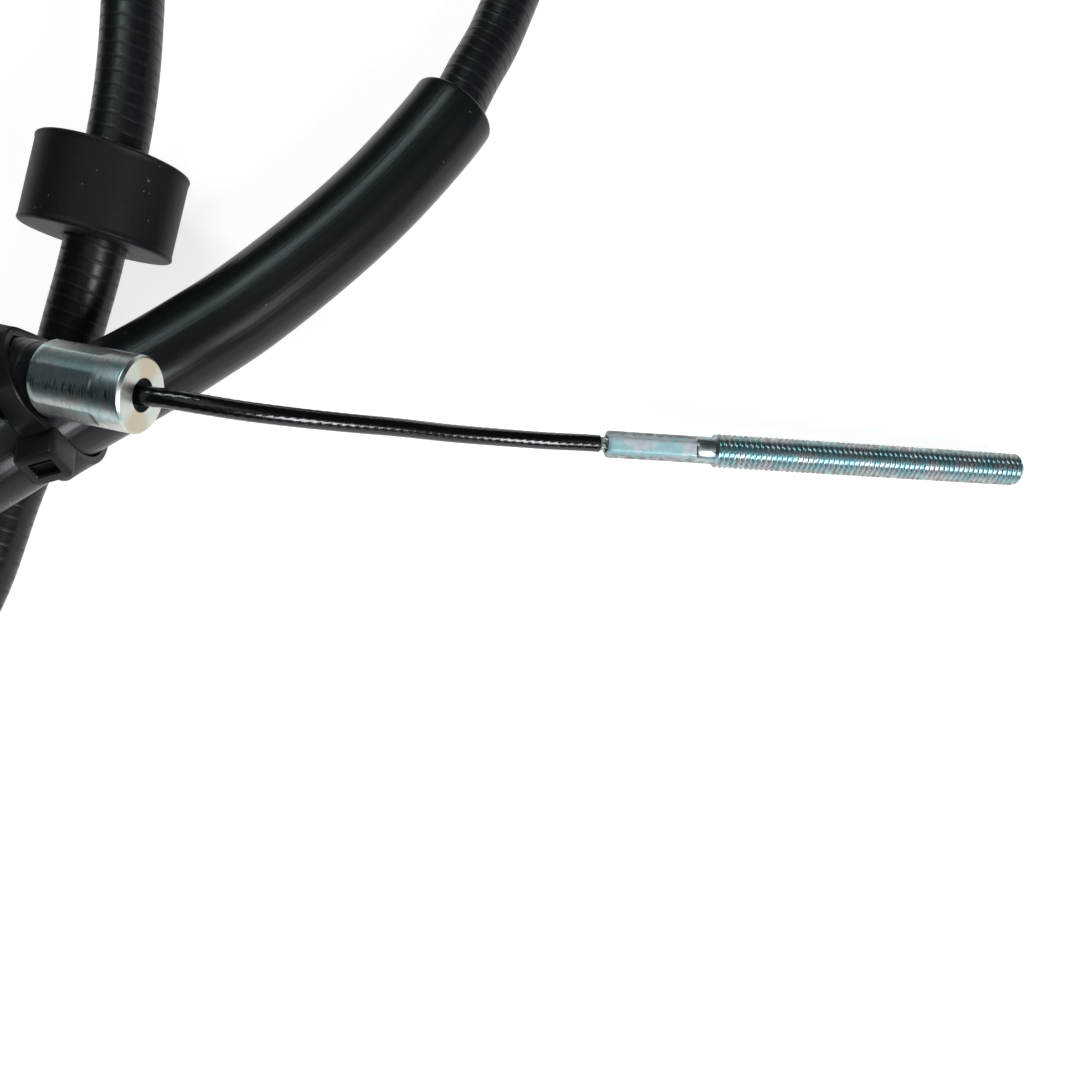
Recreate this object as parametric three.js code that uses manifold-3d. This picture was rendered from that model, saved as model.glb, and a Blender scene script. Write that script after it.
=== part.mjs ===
// Parking brake cable: a threaded rod on a coated inner cable, which runs through a
// coiled conduit with a ferrule at each end, a rubber bush, a protective sleeve and
// a cable tie. Millimetres, +Z up, lying on the plane z = 0.
import * as THREE from "three";
import Module from "manifold-3d";
import { mergeVertices } from "three/addons/utils/BufferGeometryUtils.js";

const wasm = await Module();
wasm.setup();

// Clearances
const gap = 0.3;
const tieGap = 0.8;

// Inner cable and the layers of the conduit, from the inside out
const cableDiameter = 3;
const linerWall = 0.5;
const armourWall = 0.75;
const conduitDiameter = 10.2;
const slimSides = 8;
const roundSides = 10;

// Front end: a rod with a hexagonal crimp, a neck and a thread
const hexLength = 16;
const hexCorners = 4.8;
const hexTurnDeg = 43;
const neckLength = 3.4;
const neckDiameter = 4.8;
const threadLength = 61.4;
const threadDiameter = 6;
const threadChamfer = 1;
const ropeDiameter = 2.4;
const ropeBare = 1.2;
const ropeInCrimp = 14;

// Ferrules on the conduit
const ferruleDiameter = 11.6;
const ferruleLength = 15;
const ferruleFrontWall = 4;
const ferruleBore = 5.1;
const ferruleChamfer = 0.5;
const crimpFlatDepth = 0.18;
const crimpFlatCount = 6;
const crimpFlatLength = 10.4;

// Rear end stop
const stopDiameter = 8;
const stopLength = 10;
const stopChamfer = 0.6;
const rearCableLength = 46;

// Rubber bush, sleeve and tie
const bushDiameter = 25.4;
const bushLength = 14.9;
const bushChamfer = 0.6;
const sleeveDiameter = 15.8;
const sleeveWall = 1.9;
const tieThickness = 1.2;
const tieWidth = 4.6;
const headLength = 6.4;
const headWidth = 6.6;
const headHeight = 5.2;
const headSlotLength = 2.6;
const headSlotWidth = 3.4;
const headSlotDepth = 2.2;

// Coil
const wideRadius = 58;
const coilRadius = 55;
const sleevedRadius = 66;
const stepLength = 23;
const cableStepLength = 9;
const arcStepDeg = 15;
const boxMiddle = [-1.7, -5.35];
const coilCentre = [-88.7, 56];
const wideCentre = [-91.2, -64.2];

const steel = { color: 0xc3cacb, roughness: 0.32, metalness: 1 };
const bareSteel = { color: 0x9aa0a2, roughness: 0.4, metalness: 1 };
const black = { color: 0x17191b, roughness: 0.42, metalness: 0 };
const rubber = { color: 0x1b1d1f, roughness: 0.6, metalness: 0 };
const liner = { color: 0xd8d6cc, roughness: 0.5, metalness: 0 };

// Route, from the rod's end of the inner cable to the rear end stop
const radians = THREE.MathUtils.degToRad;
const points = [];
const marks = {};

function mark(name) {
  marks[name] = points.length - 1;
}

function pass(...list) {
  for (const [x, y, z] of list) {
    points.push(new THREE.Vector3(x - boxMiddle[0], y - boxMiddle[1], z));
  }
}

// A turn of the coil about a centre, clockwise seen from above, with its height easing from one end to the other.
function turn([centreX, centreY], radius, startDeg, endDeg, startZ, endZ) {
  const count = Math.max(2, Math.round(Math.abs(endDeg - startDeg) / arcStepDeg));
  for (let i = 0; i <= count; i += 1) {
    const share = i / count;
    const angle = radians(startDeg + (endDeg - startDeg) * share);
    const height = THREE.MathUtils.lerp(startZ, endZ, THREE.MathUtils.smoothstep(share, 0, 1));
    pass([centreX + radius * Math.cos(angle), centreY + radius * Math.sin(angle), height]);
  }
}

pass([70.6, -59.9, 12.9]);
mark("rodEnd");
pass(
  [66.6, -59.8, 13.4], [60.6, -59.8, 14.4], [51.9, -59.9, 17.1], [43.5, -60.2, 21], [35.4, -60.5, 25.7],
  [27.6, -60.9, 30], [20.2, -61.1, 33.8], [13.1, -60.9, 36.5], [7.8, -60.4, 37.9], [3.4, -59.8, 38.4],
  [-1, -59.1, 37.9],
);
mark("frontFace");
pass([-8.03, -57.32, 35.99], [-15.06, -55.54, 34.08], [-20.68, -54.1, 32.55], [-26, -52.6, 31.6]);
pass([-45, -47.2, 27], [-72, -40.5, 21]);
turn([-88.7, 20.5], coilRadius, 256, 185, 17, 15.9);
turn(coilCentre, coilRadius, 176, 94, 15.9, 15.9);
turn([-65, 56], coilRadius, 88, 4, 15.9, 20.6);
pass([-10.1, 36, 21], [-10.5, 15.9, 19.8], [-11, 5.8, 18.7], [-11.9, -2.5, 17.6], [-13.5, -11.5, 16.3]);
pass([-15.2, -18.45, 15.15]);
mark("bushMiddle");
pass([-16.6, -24.4, 13.8], [-18.3, -30, 12], [-21.5, -38.3, 8.6], [-24.2, -45.5, 5.9], [-26.9, -53, 5.2]);
pass([-31.8, -67.1, 5.2], [-36.7, -84, 5.2]);
turn(wideCentre, wideRadius, 328, 185, 5.2, 5.2);
turn(coilCentre, coilRadius, 178, 92, 5.2, 5.2);
pass([-40, 111, 5.2]);
turn([6.4, 56], coilRadius, 90, -22, 5.2, 5.2);
pass([54.2, 26.5, 5.3], [51.5, 19.6, 5.7], [47.8, 11.7, 7.2]);
pass([44.3, 4.1, 8.3]);
mark("sleeveStart");
pass(
  [37.3, -5.4, 8.4], [28.9, -15.4, 8.9], [18.8, -25.9, 10.1], [7.5, -36.5, 11.8], [1.3, -41.7, 13.2],
  [-7.5, -48.8, 15.6], [-14.9, -54.2, 17.8], [-21.7, -59.5, 19.8], [-28.4, -64.6, 20.8], [-36, -69.7, 20.7],
);
turn([-69.8, -13.6], sleevedRadius, 292, 215, 20.3, 8.4);
mark("sleeveEnd");

// The rear end lies inside the coil: each place is its distance from the coil's straight left side, y and z
for (const [inward, y, z] of [
  [16.3, -37, 5.8], [12.2, -24, 5.3], [10.7, -10, 5.3], [10.8, 4, 5.7], [11.7, 14, 6.1], [13, 24, 6.1],
  [14.8, 34, 6], [17.6, 45, 5.2], [22.1, 57, 4.4], [28.2, 68, 4.2], [34.7, 78, 4.2],
]) {
  const share = Math.min((y - wideCentre[1]) / (coilCentre[1] - wideCentre[1]), 1);
  const leftSide = THREE.MathUtils.lerp(wideCentre[0] - wideRadius, coilCentre[0] - coilRadius, share);
  pass([leftSide + inward, y, z]);
}

const route = new THREE.CatmullRomCurve3(points, false, "centripetal");
const samplesPerPoint = 20;
route.arcLengthDivisions = (points.length - 1) * samplesPerPoint;
const lengths = route.getLengths();
const routeLength = lengths[lengths.length - 1];

function distanceOf(name) {
  return lengths[marks[name] * samplesPerPoint];
}

function pointAt(distance) {
  return route.getPointAt(distance / routeLength);
}

function tangentAt(distance) {
  return route.getTangentAt(distance / routeLength);
}

// The distance along the route that lies closest to a place, searched within a range.
function nearestDistance(place, from, to) {
  let best = from;
  let bestGap = Infinity;
  for (let distance = from; distance <= to; distance += 0.25) {
    const reach = pointAt(distance).distanceTo(place);
    if (reach < bestGap) {
      bestGap = reach;
      best = distance;
    }
  }
  return best;
}

function placeOf(x, y, z) {
  return new THREE.Vector3(x - boxMiddle[0], y - boxMiddle[1], z);
}

// Places along the route
const rodEnd = distanceOf("rodEnd");
const frontFace = distanceOf("frontFace");
const conduitFront = frontFace + ferruleFrontWall + gap;
const frontFerruleBack = frontFace + ferruleLength;
const bushMiddle = distanceOf("bushMiddle");
const sleeveStart = distanceOf("sleeveStart");
const sleeveEnd = distanceOf("sleeveEnd");
const stopFace = routeLength - stopLength - ropeBare;
const rearFace = stopFace - rearCableLength;
const conduitRear = rearFace - ferruleFrontWall - gap;
const rearFerruleBack = rearFace - ferruleLength;

// A stretch of the route with a section at each given distance.
class Stretch extends THREE.Curve {
  constructor(distances) {
    super();
    this.distances = distances;
    this.steps = distances.length - 1;
  }

  distanceAt(share) {
    const place = share * this.steps;
    const index = Math.min(Math.floor(place), this.steps - 1);
    return THREE.MathUtils.lerp(this.distances[index], this.distances[index + 1], place - index);
  }

  getPoint(share, target = new THREE.Vector3()) {
    return target.copy(pointAt(this.distanceAt(share)));
  }

  getPointAt(share, target) {
    return this.getPoint(share, target);
  }

  getTangentAt(share, target = new THREE.Vector3()) {
    return target.copy(tangentAt(this.distanceAt(share)));
  }
}

// Equal steps between each place and the next, so that what shares places shares its sections.
function sections(places, step) {
  const distances = [places[0]];
  for (let i = 1; i < places.length; i += 1) {
    const span = places[i] - places[i - 1];
    const count = Math.max(1, Math.round(span / step));
    for (let k = 1; k <= count; k += 1) {
      distances.push(places[i - 1] + (span * k) / count);
    }
  }
  return distances;
}

const conduitPlaces = [
  conduitFront, frontFerruleBack, bushMiddle - bushLength / 2, bushMiddle + bushLength / 2,
  sleeveStart, sleeveEnd, rearFerruleBack, conduitRear,
];
const conduitSections = sections(conduitPlaces, stepLength);
const cableSections = [
  ...sections([rodEnd + ropeBare, frontFace, conduitFront], cableStepLength),
  ...conduitSections.slice(1, -1),
  ...sections([conduitRear, rearFace, stopFace], cableStepLength),
];

function ring(outerRadius, outerSides, boreRadius = 0, boreSides = 0) {
  const corner = (radius, sides, index) => {
    const angle = (2 * Math.PI * index) / sides;
    return new THREE.Vector2(radius * Math.cos(angle), radius * Math.sin(angle));
  };
  const outline = Array.from({ length: outerSides }, (_, i) => corner(outerRadius, outerSides, i));
  const shape = new THREE.Shape(outline);
  if (boreRadius > 0) {
    const bore = Array.from({ length: boreSides }, (_, i) => corner(boreRadius, boreSides, i));
    shape.holes.push(new THREE.Path(bore));
  }
  return shape;
}

function tube(shape, distances) {
  const extrudePath = new Stretch(distances);
  return new THREE.ExtrudeGeometry(shape, { steps: extrudePath.steps, extrudePath });
}

// The corner radius of a bore that clears what is inside it.
function clearBore(insideRadius, sides) {
  return (insideRadius + gap) / Math.cos(Math.PI / sides);
}

function toSolid(geometry) {
  const bare = geometry.clone();
  bare.deleteAttribute("normal");
  bare.deleteAttribute("uv");
  const merged = mergeVertices(bare, 1e-4);
  return new wasm.Manifold(new wasm.Mesh({
    numProp: 3,
    vertProperties: new Float32Array(merged.attributes.position.array),
    triVerts: new Uint32Array(merged.index.array),
  }));
}

function toGeometry(solid) {
  const mesh = solid.getMesh();
  const geometry = new THREE.BufferGeometry();
  geometry.setAttribute("position", new THREE.BufferAttribute(new Float32Array(mesh.vertProperties), 3));
  geometry.setIndex(new THREE.BufferAttribute(new Uint32Array(mesh.triVerts), 1));
  geometry.computeVertexNormals();
  return geometry;
}

// A turned solid along +Z from a list of [radius, height] that starts and ends on the axis or closes on itself.
function turned(profile, segments) {
  const lathe = new THREE.LatheGeometry(profile.map(([r, z]) => new THREE.Vector2(r, z)), segments);
  lathe.rotateX(Math.PI / 2);
  return lathe;
}

function hexPrism(corners, from, to, boreRadius) {
  const prism = new THREE.ExtrudeGeometry(ring(corners / 2, 6, boreRadius, 12), { depth: to - from, bevelEnabled: false });
  prism.rotateZ(radians(hexTurnDeg));
  prism.translate(0, 0, from);
  return prism;
}

const model = new THREE.Group();

function add(name, geometry, finish) {
  const mesh = new THREE.Mesh(geometry, new THREE.MeshStandardMaterial(finish));
  mesh.name = name;
  model.add(mesh);
  return mesh;
}

// Sets a mesh's +Z along a direction, with its origin at a place.
function aim(mesh, place, direction) {
  mesh.position.copy(place);
  mesh.quaternion.setFromUnitVectors(new THREE.Vector3(0, 0, 1), direction.clone().normalize());
}

// Conduit, with its layers sharing their sections
const cableRadius = cableDiameter / 2;
const linerBore = clearBore(cableRadius, slimSides);
const linerRadius = linerBore + linerWall;
const armourBore = clearBore(linerRadius, slimSides);
const armourRadius = armourBore + armourWall;
const jacketBore = clearBore(armourRadius, roundSides);
const jacketRadius = conduitDiameter / 2;
add("conduit_jacket", tube(ring(jacketRadius, roundSides, jacketBore, roundSides), conduitSections), black);
add("conduit_wire_coil", tube(ring(armourRadius, roundSides, armourBore, slimSides), conduitSections), bareSteel);
add("conduit_liner", tube(ring(linerRadius, slimSides, linerBore, slimSides), conduitSections), liner);
add("inner_cable", tube(ring(cableRadius, slimSides), cableSections), black);

// Protective sleeve, a loose fit on the jacket
const sleeveRadius = sleeveDiameter / 2;
const sleeveSections = sections([sleeveStart, sleeveEnd], stepLength);
add("protective_sleeve", tube(ring(sleeveRadius, 12, sleeveRadius - sleeveWall, 12), sleeveSections), black);

// Rubber bush, seated on the straight step of the jacket that it shares its ends with
function bushGeometry() {
  const outer = bushDiameter / 2;
  const bore = jacketRadius + gap;
  const half = bushLength / 2;
  return turned([
    [bore, -half], [outer - bushChamfer, -half], [outer, -half + bushChamfer], [outer, half - bushChamfer],
    [outer - bushChamfer, half], [bore, half], [bore, -half],
  ], 32);
}
const bushFrom = pointAt(bushMiddle - bushLength / 2);
const bushTo = pointAt(bushMiddle + bushLength / 2);
aim(add("rubber_bush", bushGeometry(), rubber), bushFrom.clone().lerp(bushTo, 0.5), bushTo.clone().sub(bushFrom));

// Ferrule: a turned cap whose front wall closes on the conduit's end, crimped with narrow flats behind
function ferruleGeometry() {
  const outer = ferruleDiameter / 2;
  const socket = jacketRadius + gap;
  const body = toSolid(turned([
    [ferruleBore / 2, 0], [outer - ferruleChamfer, 0], [outer, ferruleChamfer], [outer, ferruleLength],
    [socket, ferruleLength], [socket, ferruleFrontWall], [ferruleBore / 2, ferruleFrontWall], [ferruleBore / 2, 0],
  ], 32));
  let crimped = body;
  for (let i = 0; i < crimpFlatCount; i += 1) {
    const flat = new THREE.BoxGeometry(2 * outer, 2, crimpFlatLength);
    flat.translate(0, outer - crimpFlatDepth + 1, ferruleLength - crimpFlatLength / 2 + gap);
    flat.rotateZ((2 * Math.PI * i) / crimpFlatCount);
    crimped = crimped.subtract(toSolid(flat));
  }
  return toGeometry(crimped);
}
aim(
  add("front_ferrule", ferruleGeometry(), steel),
  pointAt(frontFace), pointAt(frontFerruleBack).sub(pointAt(frontFace)),
);
aim(
  add("rear_ferrule", ferruleGeometry(), steel),
  pointAt(rearFace), pointAt(rearFerruleBack).sub(pointAt(rearFace)),
);

// Threaded rod, crimped on the stripped end of the wire rope
const ropeRadius = ropeDiameter / 2;
const crimpBore = ropeRadius + gap;
const crimpDepth = ropeInCrimp + gap;
function rodGeometry() {
  const threadStart = hexLength + neckLength;
  const rodLength = threadStart + threadLength;
  const threadRadius = threadDiameter / 2;
  const crimp = toSolid(hexPrism(hexCorners, 0, crimpDepth, crimpBore));
  const hexEnd = toSolid(hexPrism(hexCorners, crimpDepth, hexLength, 0));
  const shaft = toSolid(turned([
    [0, hexLength], [neckDiameter / 2, hexLength], [neckDiameter / 2, threadStart],
    [threadRadius, threadStart + threadChamfer / 2], [threadRadius, rodLength - threadChamfer],
    [threadRadius - threadChamfer, rodLength], [0, rodLength],
  ], 24));
  return toGeometry(crimp.add(hexEnd).add(shaft));
}
const rodDirection = tangentAt(rodEnd).negate();
aim(add("threaded_rod", rodGeometry(), steel), pointAt(rodEnd), rodDirection);

// Stripped ends of the wire rope, each crimped in the piece that it carries
const ropeShown = ropeBare - gap;
function ropeEnd() {
  return turned([[0, -ropeShown], [ropeRadius, -ropeShown], [ropeRadius, ropeInCrimp], [0, ropeInCrimp]], 12);
}
aim(add("front_rope_end", ropeEnd(), bareSteel), pointAt(rodEnd), rodDirection);

// Rear end stop, a turned barrel on the wire rope
function stopGeometry() {
  const outer = stopDiameter / 2;
  return turned([
    [crimpBore, 0], [outer - stopChamfer, 0], [outer, stopChamfer], [outer, stopLength - stopChamfer],
    [outer - stopChamfer, stopLength], [0, stopLength], [0, stopLength - 1], [crimpBore, stopLength - 1], [crimpBore, 0],
  ], 24);
}
const stopDirection = tangentAt(stopFace);
const stopPlace = pointAt(stopFace).addScaledVector(stopDirection, ropeBare);
aim(add("rear_end_stop", stopGeometry(), steel), stopPlace, stopDirection);
function rearRopeEnd() {
  const depth = stopLength - 1 - gap;
  return turned([[0, -ropeShown], [ropeRadius, -ropeShown], [ropeRadius, depth], [0, depth]], 12);
}
aim(add("rear_rope_end", rearRopeEnd(), bareSteel), stopPlace, stopDirection);

// Convex outline round a set of points, counter-clockwise.
function hullOf(places) {
  const sorted = [...places].sort((a, b) => a.x - b.x || a.y - b.y);
  const half = (list) => {
    const chain = [];
    for (const place of list) {
      while (chain.length > 1) {
        const [before, last] = chain.slice(-2);
        const turnLeft = (last.x - before.x) * (place.y - before.y) - (last.y - before.y) * (place.x - before.x);
        if (turnLeft > 0) break;
        chain.pop();
      }
      chain.push(place);
    }
    return chain.slice(0, -1);
  };
  return [...half(sorted), ...half(sorted.reverse())];
}

// Cable tie: a strap round the conduit and the sleeve where the one lies on the other, with its head
function addTie() {
  const upper = nearestDistance(placeOf(-21.5, -53.9, 32.4), frontFerruleBack, frontFerruleBack + 60);
  const lower = nearestDistance(placeOf(-18.6, -57, 18.8), sleeveStart, sleeveEnd);
  const along = tangentAt(upper).add(tangentAt(lower)).normalize();
  const upperCentre = pointAt(upper);
  const lowerCentre = pointAt(lower);
  const up = upperCentre.clone().sub(lowerCentre).normalize();
  const side = up.clone().cross(along).normalize();
  const facing = side.clone().cross(up);

  // What a pipe needs in the strap's plane: an ellipse, longer the way that the pipe slants through it
  const girth = (distance, radius, centre, extra) => {
    const tangent = tangentAt(distance);
    const cosine = tangent.dot(facing);
    const slantX = tangent.dot(side);
    const slantY = tangent.dot(up);
    const sine = Math.hypot(slantX, slantY);
    const long = radius / cosine + ((sine / cosine) * tieWidth) / 2 + tieGap + extra;
    const short = radius + tieGap + extra;
    const centreY = centre.clone().sub(lowerCentre).dot(up);
    return Array.from({ length: 24 }, (_, i) => {
      const angle = (2 * Math.PI * i) / 24;
      const a = long * Math.cos(angle);
      const b = short * Math.sin(angle);
      return new THREE.Vector2((a * slantX - b * slantY) / sine, centreY + (a * slantY + b * slantX) / sine);
    });
  };
  const outline = (extra) => hullOf([
    ...girth(upper, jacketRadius, upperCentre, extra), ...girth(lower, sleeveRadius, lowerCentre, extra),
  ]);
  const outer = outline(tieThickness);
  const strapShape = new THREE.Shape(outer);
  strapShape.holes.push(new THREE.Path(outline(0)));
  const strap = new THREE.ExtrudeGeometry(strapShape, { depth: tieWidth, bevelEnabled: false });
  strap.translate(0, 0, -tieWidth / 2);

  // The head sits on the strap's straight run on the open side
  const edges = outer.map((start, i) => [start, outer[(i + 1) % outer.length]]);
  const [from, to] = edges.filter(([a, b]) => a.x + b.x > 0)
    .reduce((best, edge) => (edge[0].distanceTo(edge[1]) > best[0].distanceTo(best[1]) ? edge : best));
  const run = to.clone().sub(from).normalize();
  const outward = new THREE.Vector2(run.y, -run.x);
  const rise = headHeight / 2 - tieThickness / 2;
  const headCentre = from.clone().lerp(to, 0.5).addScaledVector(outward, rise);
  const placeHead = (geometry) => {
    geometry.rotateZ(Math.atan2(outward.y, outward.x));
    geometry.translate(headCentre.x, headCentre.y, 0);
    return toSolid(geometry);
  };
  const slot = new THREE.BoxGeometry(headSlotDepth, headSlotLength, headSlotWidth);
  slot.translate(headHeight / 2, 0, 0);
  const head = placeHead(new THREE.BoxGeometry(headHeight, headLength, headWidth));
  const mesh = add("cable_tie", toGeometry(toSolid(strap).add(head).subtract(placeHead(slot))), black);
  mesh.position.copy(lowerCentre);
  mesh.quaternion.setFromRotationMatrix(new THREE.Matrix4().makeBasis(side, up, facing));
}
addTie();

export default model;
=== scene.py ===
import logging
import math
from dataclasses import dataclass, field
from enum import Enum
from typing import Any, Callable, Optional, Sequence, Union

import bpy
import numpy as np
from mathutils import Matrix, Vector


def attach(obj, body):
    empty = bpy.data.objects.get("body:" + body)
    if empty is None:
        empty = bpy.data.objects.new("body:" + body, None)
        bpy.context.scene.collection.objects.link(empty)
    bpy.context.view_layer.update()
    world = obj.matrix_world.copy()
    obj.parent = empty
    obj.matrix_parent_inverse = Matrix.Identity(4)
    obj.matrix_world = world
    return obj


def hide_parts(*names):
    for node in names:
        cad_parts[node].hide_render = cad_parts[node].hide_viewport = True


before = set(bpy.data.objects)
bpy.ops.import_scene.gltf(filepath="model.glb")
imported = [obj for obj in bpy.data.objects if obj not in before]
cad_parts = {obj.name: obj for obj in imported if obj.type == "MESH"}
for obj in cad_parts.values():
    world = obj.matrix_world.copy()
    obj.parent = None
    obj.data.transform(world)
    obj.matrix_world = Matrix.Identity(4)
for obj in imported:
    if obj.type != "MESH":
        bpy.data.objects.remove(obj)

LOG = logging.getLogger("brake_cable")
MM = 0.001
ROOT = "root"
Number = Union[int, float]
Operand = Union["Field", Number]
Place = tuple[float, float, float]
Colour = tuple[float, float, float]
Stops = Sequence[tuple[float, Colour]]


class Stiffness(Enum):
    """How readily a cord bends."""

    STIFF = "stiff"
    MEDIUM = "medium"


class Lay(Enum):
    """How a cord lies."""

    COILED = "coiled"


class FarEnd(Enum):
    """What a cord ends in."""

    FITTING = "fitting"


class Ends(Enum):
    """How the first and last ring of a loft are closed."""

    CAPPED = "capped"
    JOINED = "joined"


class Channel(Enum):
    """A component of the lay attribute, which every tube and turned piece carries."""

    COSINE = "X"
    SINE = "Y"
    ALONG = "Z"


class Field:
    """A shader value. Arithmetic on it adds Math nodes."""

    def __init__(self, graph: "Graph", socket: bpy.types.NodeSocket) -> None:
        """Wraps a socket of a graph.

        Args:
            graph: the material's graph.
            socket: the output that carries the value.
        """
        self.graph = graph
        self.socket = socket

    def apply(self, operation: str, *others: Operand, clamp: bool = False) -> "Field":
        """Runs one Math operation on this value and others.

        Args:
            operation: the Math node's operation.
            others: the further operands.
            clamp: whether the result is kept from 0 to 1.

        Returns:
            The result.
        """
        inputs = dict(enumerate((self, *others)))
        node = self.graph.node("ShaderNodeMath", {"operation": operation, "use_clamp": clamp}, inputs)
        return Field(self.graph, node.outputs[0])

    def __add__(self, other: Operand) -> "Field":
        """Sum."""
        return self.apply("ADD", other)

    def __radd__(self, other: Number) -> "Field":
        """Sum, with the number first."""
        return self.apply("ADD", other)

    def __sub__(self, other: Operand) -> "Field":
        """Difference."""
        return self.apply("SUBTRACT", other)

    def __rsub__(self, other: Number) -> "Field":
        """Difference, with the number first."""
        return (self * -1.0).apply("ADD", other)

    def __mul__(self, other: Operand) -> "Field":
        """Product."""
        return self.apply("MULTIPLY", other)

    def __rmul__(self, other: Number) -> "Field":
        """Product, with the number first."""
        return self.apply("MULTIPLY", other)

    def __truediv__(self, other: Operand) -> "Field":
        """Quotient."""
        return self.apply("DIVIDE", other)

    def __rtruediv__(self, other: Number) -> "Field":
        """Quotient, with the number first."""
        return self.apply("POWER", -1.0) * other

    def sine(self) -> "Field":
        """Sine of this value in radians."""
        return self.apply("SINE")

    def angle_to(self, other: "Field") -> "Field":
        """Angle whose sine and cosine are this value and another."""
        return self.apply("ARCTAN2", other)

    def clamped(self) -> "Field":
        """This value kept from 0 to 1."""
        return self.apply("ADD", 0.0, clamp=True)

    def ease(self, low: Number, high: Number) -> "Field":
        """A smooth step from 0 at low to 1 at high.

        Args:
            low: where the step starts.
            high: where the step ends.

        Returns:
            The step.
        """
        node = self.graph.node(
            "ShaderNodeMapRange",
            {"interpolation_type": "SMOOTHSTEP"},
            {"Value": self, "From Min": low, "From Max": high, "To Min": 0.0, "To Max": 1.0},
        )
        return Field(self.graph, node.outputs[0])


class Graph:
    """A material's nodes, with its Principled shader."""

    def __init__(self, name: str) -> None:
        """Starts a material.

        Args:
            name: the material's name.
        """
        self.material = bpy.data.materials.new(name)
        self.material.use_nodes = True
        self.tree = self.material.node_tree
        self.tree.nodes.clear()
        self.shader = self.tree.nodes.new("ShaderNodeBsdfPrincipled")
        output = self.tree.nodes.new("ShaderNodeOutputMaterial")
        self.tree.links.new(self.shader.outputs[0], output.inputs["Surface"])

    def node(
        self,
        kind: str,
        settings: Optional[dict[str, Any]] = None,
        inputs: Optional[dict[Union[str, int], Any]] = None,
    ) -> bpy.types.Node:
        """Adds a node.

        Args:
            kind: the node's type.
            settings: the node's own settings, set before its sockets; stops fills a ramp.
            inputs: values or links of its sockets.

        Returns:
            The node.
        """
        node = self.tree.nodes.new(kind)
        for name, value in (settings or {}).items():
            if name == "stops":
                self.fill_ramp(node, value)
            else:
                setattr(node, name, value)
        for key, value in (inputs or {}).items():
            self.feed(node.inputs[key], value)
        return node

    @staticmethod
    def fill_ramp(node: bpy.types.Node, stops: Stops) -> None:
        """Sets a ramp's stops.

        Args:
            node: the ramp.
            stops: place and colour of each stop.
        """
        elements = node.color_ramp.elements
        while len(elements) < len(stops):
            elements.new(0.5)
        for element, (place, colour) in zip(elements, stops):
            element.position = place
            element.color = (*colour, 1.0)

    def feed(self, socket: bpy.types.NodeSocket, value: Any) -> None:
        """Links or sets a socket.

        Args:
            socket: the input.
            value: a Field, an output socket, a colour or a number.
        """
        if isinstance(value, Field):
            self.tree.links.new(value.socket, socket)
        elif isinstance(value, bpy.types.NodeSocket):
            self.tree.links.new(value, socket)
        elif isinstance(value, tuple) and len(value) == 3 and socket.type == "RGBA":
            socket.default_value = (*value, 1.0)
        else:
            socket.default_value = value

    def set(self, **values: Any) -> None:
        """Sets the shader's sockets, with underscores for spaces in their names."""
        for name, value in values.items():
            self.feed(self.shader.inputs[name.replace("_", " ")], value)

    def place(self) -> bpy.types.NodeSocket:
        """Position in the object's own space."""
        return self.node("ShaderNodeTexCoord").outputs["Object"]

    def lay(self, channel: Channel) -> Field:
        """One component of the lay attribute: the angle's cosine and sine, and the distance along.

        Args:
            channel: the component.

        Returns:
            Its value.
        """
        attribute = self.node("ShaderNodeAttribute", {"attribute_name": "lay"})
        split = self.node("ShaderNodeSeparateXYZ", None, {0: attribute.outputs["Vector"]})
        return Field(self, split.outputs[channel.value])

    def around(self) -> Field:
        """Angle around a tube or turned piece, in radians."""
        return self.lay(Channel.SINE).angle_to(self.lay(Channel.COSINE))

    def along(self) -> Field:
        """Distance along a tube or turned piece, in metres."""
        return self.lay(Channel.ALONG)

    def noise(self, scale: float, detail: float = 2.0, rough: float = 0.5, vector: Any = None) -> Field:
        """Noise from 0 to 1.

        Args:
            scale: features per metre.
            detail: octaves.
            rough: weight of the finer octaves.
            vector: its coordinates, or the object's own.

        Returns:
            The noise.
        """
        node = self.node(
            "ShaderNodeTexNoise",
            None,
            {"Vector": vector or self.place(), "Scale": scale, "Detail": detail, "Roughness": rough},
        )
        return Field(self, node.outputs[0])

    def streaks(self, around: float, along: float, detail: float = 3.0) -> Field:
        """Noise drawn out around a piece or along it.

        Args:
            around: features over the piece's radius.
            along: features per metre of its length.
            detail: octaves.

        Returns:
            The noise.
        """
        place = self.node(
            "ShaderNodeCombineXYZ",
            None,
            {
                0: self.lay(Channel.COSINE) * around,
                1: self.lay(Channel.SINE) * around,
                2: self.along() * along,
            },
        )
        return self.noise(1.0, detail, 0.65, place.outputs[0])

    def specks(self, scale: float, size: float) -> Field:
        """Small round specks, 1 at their middle.

        Args:
            scale: cells per metre.
            size: a speck's reach in cells.

        Returns:
            The mask.
        """
        cells = self.node("ShaderNodeTexVoronoi", None, {"Vector": self.place(), "Scale": scale})
        few = Field(self, cells.outputs["Color"]).ease(0.86, 0.88)
        return (1.0 - Field(self, cells.outputs["Distance"]).ease(size * 0.5, size)) * few

    def mix(self, share: Union[Field, float], first: Any, second: Any) -> bpy.types.NodeSocket:
        """Mixes two colours.

        Args:
            share: the second colour's share.
            first: a colour or an output.
            second: a colour or an output.

        Returns:
            The mixed colour.
        """
        return self.node("ShaderNodeMix", {"data_type": "RGBA"}, {0: share, 6: first, 7: second}).outputs[2]

    def ramp(self, value: Field, stops: Stops) -> bpy.types.NodeSocket:
        """Colour by a value.

        Args:
            value: the value.
            stops: place and colour of each stop.

        Returns:
            The colour.
        """
        return self.node("ShaderNodeValToRGB", {"stops": stops}, {0: value}).outputs[0]

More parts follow.
